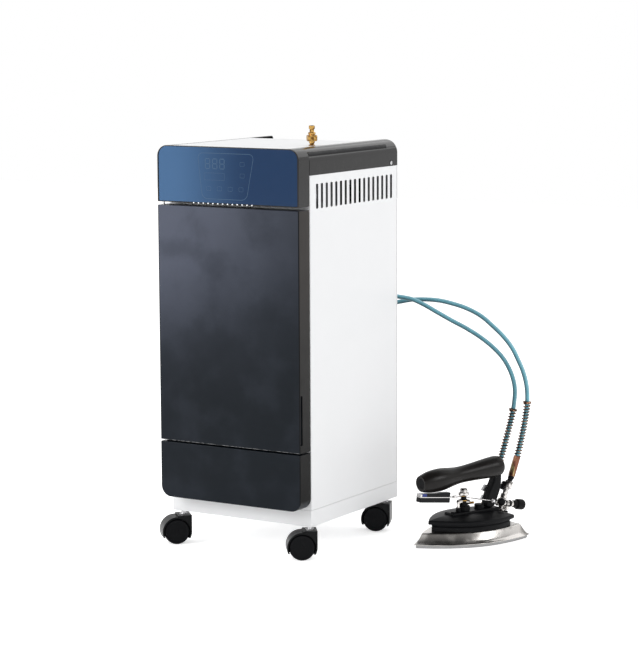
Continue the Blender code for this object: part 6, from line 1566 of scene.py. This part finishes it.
def build_inlet_valve():
    """The plated valve behind the post, with its tee, its side arm and its black knob."""
    along = (INLET_TOP - INLET_BASE).normalized()
    foot = Vector((INLET_BASE.x, 0, 0.0395))
    profile = [(0, 0.013), (0.0044, 0.013), (0.0044, 0.004), (0.0056, 0.003), (0.0056, 0), (0, 0)]
    meshes = [turned(profile, foot, segments=32, fillet=0.0004)]
    meshes.append(hexagon(foot + Vector((0.0105, 0, 0)), foot + Vector((0.0105, 0, 0.007)), 0.0052))
    tall = (INLET_TOP - INLET_BASE).length
    profile = [
        (0, tall - 0.006), (0.004, tall - 0.006), (0.004, tall * 0.52), (0.0048, tall * 0.42),
        (0.004, tall * 0.36), (0.004, tall * 0.24), (0.005, tall * 0.18), (0.005, 0.004), (0.006, 0.002),
        (0.006, -0.004), (0.004, -0.0058), (0, -0.0058),
    ]
    body = turned(profile, INLET_BASE, along, 48, 0.0004)
    nuts = []
    for share, thick, radius in ((0.2, 0.006, 0.0064), (0.56, 0.0125, 0.0078)):
        low = INLET_BASE.lerp(INLET_TOP, share)
        nuts.append(hexagon(low, low + along * thick, radius, 0.001))
    neck = turned(
        [
            (0, 0.0015), (0.0046, 0.0015), (0.0052, 0.0006), (0.0052, -0.003), (0.0044, -0.0036),
            (0.0044, -0.0095), (0, -0.0095),
        ],
        INLET_TOP, along, 32,
    )
    profile = [(0, 0.0072), (0.0028, 0.0072), (0.0046, 0.0058), (0.005, 0.004), (0.005, -0.0072), (0, -0.0072)]
    stub = turned(profile, (0.1905, 0.0052, 0.0795), along, 32, 0.0004)
    branch = ((0.18, 0, 0.0553), (-0.45, -0.89, 0), 40)
    profile = [(0, 0.0112), (0.0034, 0.0112), (0.0054, 0.0102), (0.0062, 0.0086), (0.0062, 0.004), (0, 0.004)]
    boss = turned(profile, *branch, 0.0004)
    profile = [(0.0058, 0.0052), (0.007, 0.0046), (0.007, 0.003), (0.0058, 0.0024)]
    meshes.append(turned(profile, *branch, ring=True))
    put_iron("iron_inlet_black", gathered(neck, stub, boss), "cover_black", angle=30)
    drop = math.radians(10.5)
    way = Vector((math.cos(drop), 0, -math.sin(drop)))
    arm_profile = [
        (0, 0.0248), (0.0036, 0.0248), (0.005, 0.0236), (0.005, 0.02), (0.0038, 0.019), (0.0038, 0.015),
        (0.0058, 0.014), (0.0058, 0.0085), (0.0046, 0.0075), (0.0046, -0.006), (0.0052, -0.007),
        (0.0052, -0.0095), (0, -0.01),
    ]
    arm = turned(arm_profile, INLET_BASE, way, 48, 0.0004)
    collar = hexagon(INLET_BASE + way * 0.0075, INLET_BASE + way * 0.0195, 0.0062, 0.0006)
    put_iron("iron_inlet_collar", collar, "cover_black", angle=28)
    spindle = rod(INLET_BASE + way * 0.024, INLET_BASE + way * 0.0328, 0.0017, 16)
    valve = united(body, *nuts, arm)
    put_iron("iron_inlet_body", gathered(valve, *meshes, spindle), "plated_steel", "iron_inlet_valve", 28)
    start = INLET_BASE + way * (0.0248 + GAP)
    knob = turned(
        [
            (0, 0.0225), (0.006, 0.0225), (0.0082, 0.0214), (0.0088, 0.0196), (0.0088, 0.0088), (0.008, 0.0074),
            (0.0062, 0.0064), (0.0058, 0.0), (0.0021, 0.0), (0.0021, 0.0083), (0, 0.0083),
        ],
        start, way, 72, 0.0005,
    )
    flute = rod((0.0098, 0, 0.007), (0.0098, 0, 0.026), 0.0014, 12)
    flutes = repeated(flute, 18, "cover_black", turn=math.tau / 18)
    flutes.transform(axis_matrix(start, way))
    put_iron("iron_knob_fluted", cut(knob, flutes), "cover_black", "iron_inlet_knob", 40, "iron_inlet_knob")


def sleeve(start, way, bore):
    """A long hexagonal crimp sleeve with rolled ends, open at its hose end."""
    end = start + way * FERRULE_LENGTH
    bar = hexagon(start, end, SLEEVE_RADIUS, 0.0012, 60)
    return cut(bar, rod(end - way * 0.022, end + way * 0.004, bore, 32))


def build_sleeves(settings):
    """The coppered sleeves, the necks below them, and the return fitting on the far side."""
    bore = settings.hose_radius + GAP
    tube_end = sleeve(FERRULE_START, FERRULE_WAY, bore)
    put_iron("steam_hose_sleeve", tube_end, "spring_copper", "steam_hose_ferrule", 25)
    body = turned(
        [
            (0, 0), (0.0044, 0), (0.0044, -0.043), (0.0052, -0.044), (0.0052, -0.048), (0.004, -0.049),
            (0.004, -0.07), (0, -0.07),
        ],
        RETURN_END - RETURN_WAY * 0.024, RETURN_WAY, 32,
    )
    foot = hexagon(RETURN_FOOT, RETURN_FOOT + Vector((0, 0, 0.006)), 0.007, 0.0008)
    put_iron("iron_return_body", gathered(body, foot), "brass", angle=28)
    upper = sleeve(RETURN_END - RETURN_WAY * FERRULE_LENGTH, RETURN_WAY, bore)
    put_iron("iron_return_sleeve", upper, "spring_copper", "iron_return_fitting", 25)


# Stage
def seen_apart(nodes, base, seen, output):
    """Shows one shader to the camera, gloss and glass, and lets another light the object."""
    rays = nodes.tree.nodes.new("ShaderNodeLightPath").outputs
    camera, gloss, glass = (Value(nodes, rays[f"Is {kind} Ray"]) for kind in ("Camera", "Glossy", "Transmission"))
    share = nodes.maths("MAXIMUM", nodes.maths("MAXIMUM", camera, gloss), glass)
    nodes.feed(nodes.tree.nodes[output].inputs[0], nodes.node("ShaderNodeMixShader", {0: share, 1: base, 2: seen}))


class MACHINE_OT_stage(bpy.types.Operator):
    """Places the camera, the pale floor, the lamps and the surroundings"""

    bl_idname = "machine.stage"
    bl_label = "Stage"

    def execute(self, context):
        settings = context.scene.machine_stage
        self.place_camera(context.scene)
        for name, power, size, place, target in (
            ("key lamp", settings.key, (2.2, 1.8), (-1.6, -2.1, 1.6), (0, 0, 0.3)),
            ("fill lamp", settings.fill, (1, 1), (2.4, 0.3, 1.5), (0, 0, 0.3)),
            ("top lamp", settings.top, (2.6, 1.4), (0.5, 1.9, 1.9), (0, 0, 0.5)),
        ):
            data = bpy.data.lights.new(name, "AREA")
            data.shape = "RECTANGLE"
            data.energy = power
            data.size, data.size_y = size
            lamp = linked(name, data)
            lamp.location = place
            lamp.rotation_euler = (Vector(target) - Vector(place)).to_track_quat("-Z", "Y").to_euler()
        self.build_world(settings.world)
        self.build_floor()
        return {"FINISHED"}

    def place_camera(self, scene):
        data = bpy.data.cameras.new("camera")
        data.lens = 133.28
        data.sensor_width = 36
        data.sensor_fit = "AUTO"
        place = Vector((2.0845, -3.1244, 0.8786))
        target = Vector((0.0808, 0.144, 0.3636))
        roll = math.radians(-0.2676)
        turn = (place - target).to_track_quat("Z", "Y").to_matrix() @ Matrix.Rotation(roll, 3, "Z")
        scene.camera = linked("camera", data)
        scene.camera.matrix_world = Matrix.Translation(CABINET_ORIGIN + place) @ turn.to_4x4()
        scene.view_settings.view_transform = "Standard"

    def build_world(self, strength):
        world = bpy.data.worlds.new("surroundings")
        world.use_nodes = True
        bpy.context.scene.world = world
        nodes = Nodes(world.node_tree)
        base = nodes.filled(nodes.tree.nodes["Background"], {"Strength": strength, "Color": (1, 1, 1)})
        height = nodes.node("ShaderNodeSeparateXYZ", {0: nodes.node("ShaderNodeTexCoord", None, "Generated")}, "Z")
        inputs = {"Value": height, "From Min": 0.3, "From Max": 0.85, "To Min": 1.0, "To Max": 0.1}
        rise = nodes.node("ShaderNodeMapRange", inputs, interpolation_type="SMOOTHSTEP")
        seen_apart(nodes, base, nodes.node("ShaderNodeBackground", {"Color": rise}), "World Output")

    def build_floor(self):
        work = bmesh.new()
        bmesh.ops.create_grid(work, x_segments=1, y_segments=1, size=6)
        floor = linked("floor", as_mesh(work))
        floor.location.z = -0.0004
        material = bpy.data.materials.new("floor")
        material.use_nodes = True
        nodes = Nodes(material.node_tree)
        inputs = {"Base Color": (0.92, 0.92, 0.92), "Roughness": 0.9, "Specular IOR Level": 0.0}
        base = nodes.filled(nodes.tree.nodes["Principled BSDF"], inputs)
        glow = nodes.node("ShaderNodeEmission", {"Strength": 0.55})
        seen_apart(nodes, base, nodes.node("ShaderNodeAddShader", {0: base, 1: glow}), "Material Output")
        floor.data.materials.append(material)


SETTINGS = (
    ("machine_cabinet", CabinetSettings), ("machine_front", FrontSettings), ("machine_casters", CasterSettings),
    ("machine_iron", IronSettings), ("machine_hoses", HoseSettings), ("machine_stage", StageSettings),
)
OPERATORS = (
    MACHINE_OT_stage, MACHINE_OT_iron_valves, MACHINE_OT_hoses, MACHINE_OT_springs, MACHINE_OT_sheets, MACHINE_OT_rails,
    MACHINE_OT_control_head, MACHINE_OT_front_panels, MACHINE_OT_relief_valve, MACHINE_OT_casters, MACHINE_OT_inside,
    MACHINE_OT_iron_body, MACHINE_OT_iron_handle,
)


class MACHINE_PT_panel(bpy.types.Panel):
    """Lists the pieces and their settings in the sidebar"""

    bl_label = "Garment machine"
    bl_idname = "MACHINE_PT_panel"
    bl_space_type = "VIEW_3D"
    bl_region_type = "UI"
    bl_category = "Garment machine"

    def draw(self, context):
        for name, group in SETTINGS:
            box = self.layout.box()
            settings = getattr(context.scene, name)
            for label in group.__annotations__:
                box.prop(settings, label)
        for operator in OPERATORS:
            self.layout.operator(operator.bl_idname)


CLASSES = tuple(group for _, group in SETTINGS) + OPERATORS + (MACHINE_PT_panel,)


def register():
    for item in CLASSES:
        bpy.utils.register_class(item)
    for name, group in SETTINGS:
        setattr(bpy.types.Scene, name, PointerProperty(type=group))


def unregister():
    for name, _ in SETTINGS:
        delattr(bpy.types.Scene, name)
    for item in reversed(CLASSES):
        bpy.utils.unregister_class(item)


def main():
    register()
    for operator in OPERATORS:
        group, name = operator.bl_idname.split(".")
        getattr(getattr(bpy.ops, group), name)()


if __name__ == "__main__":
    main()
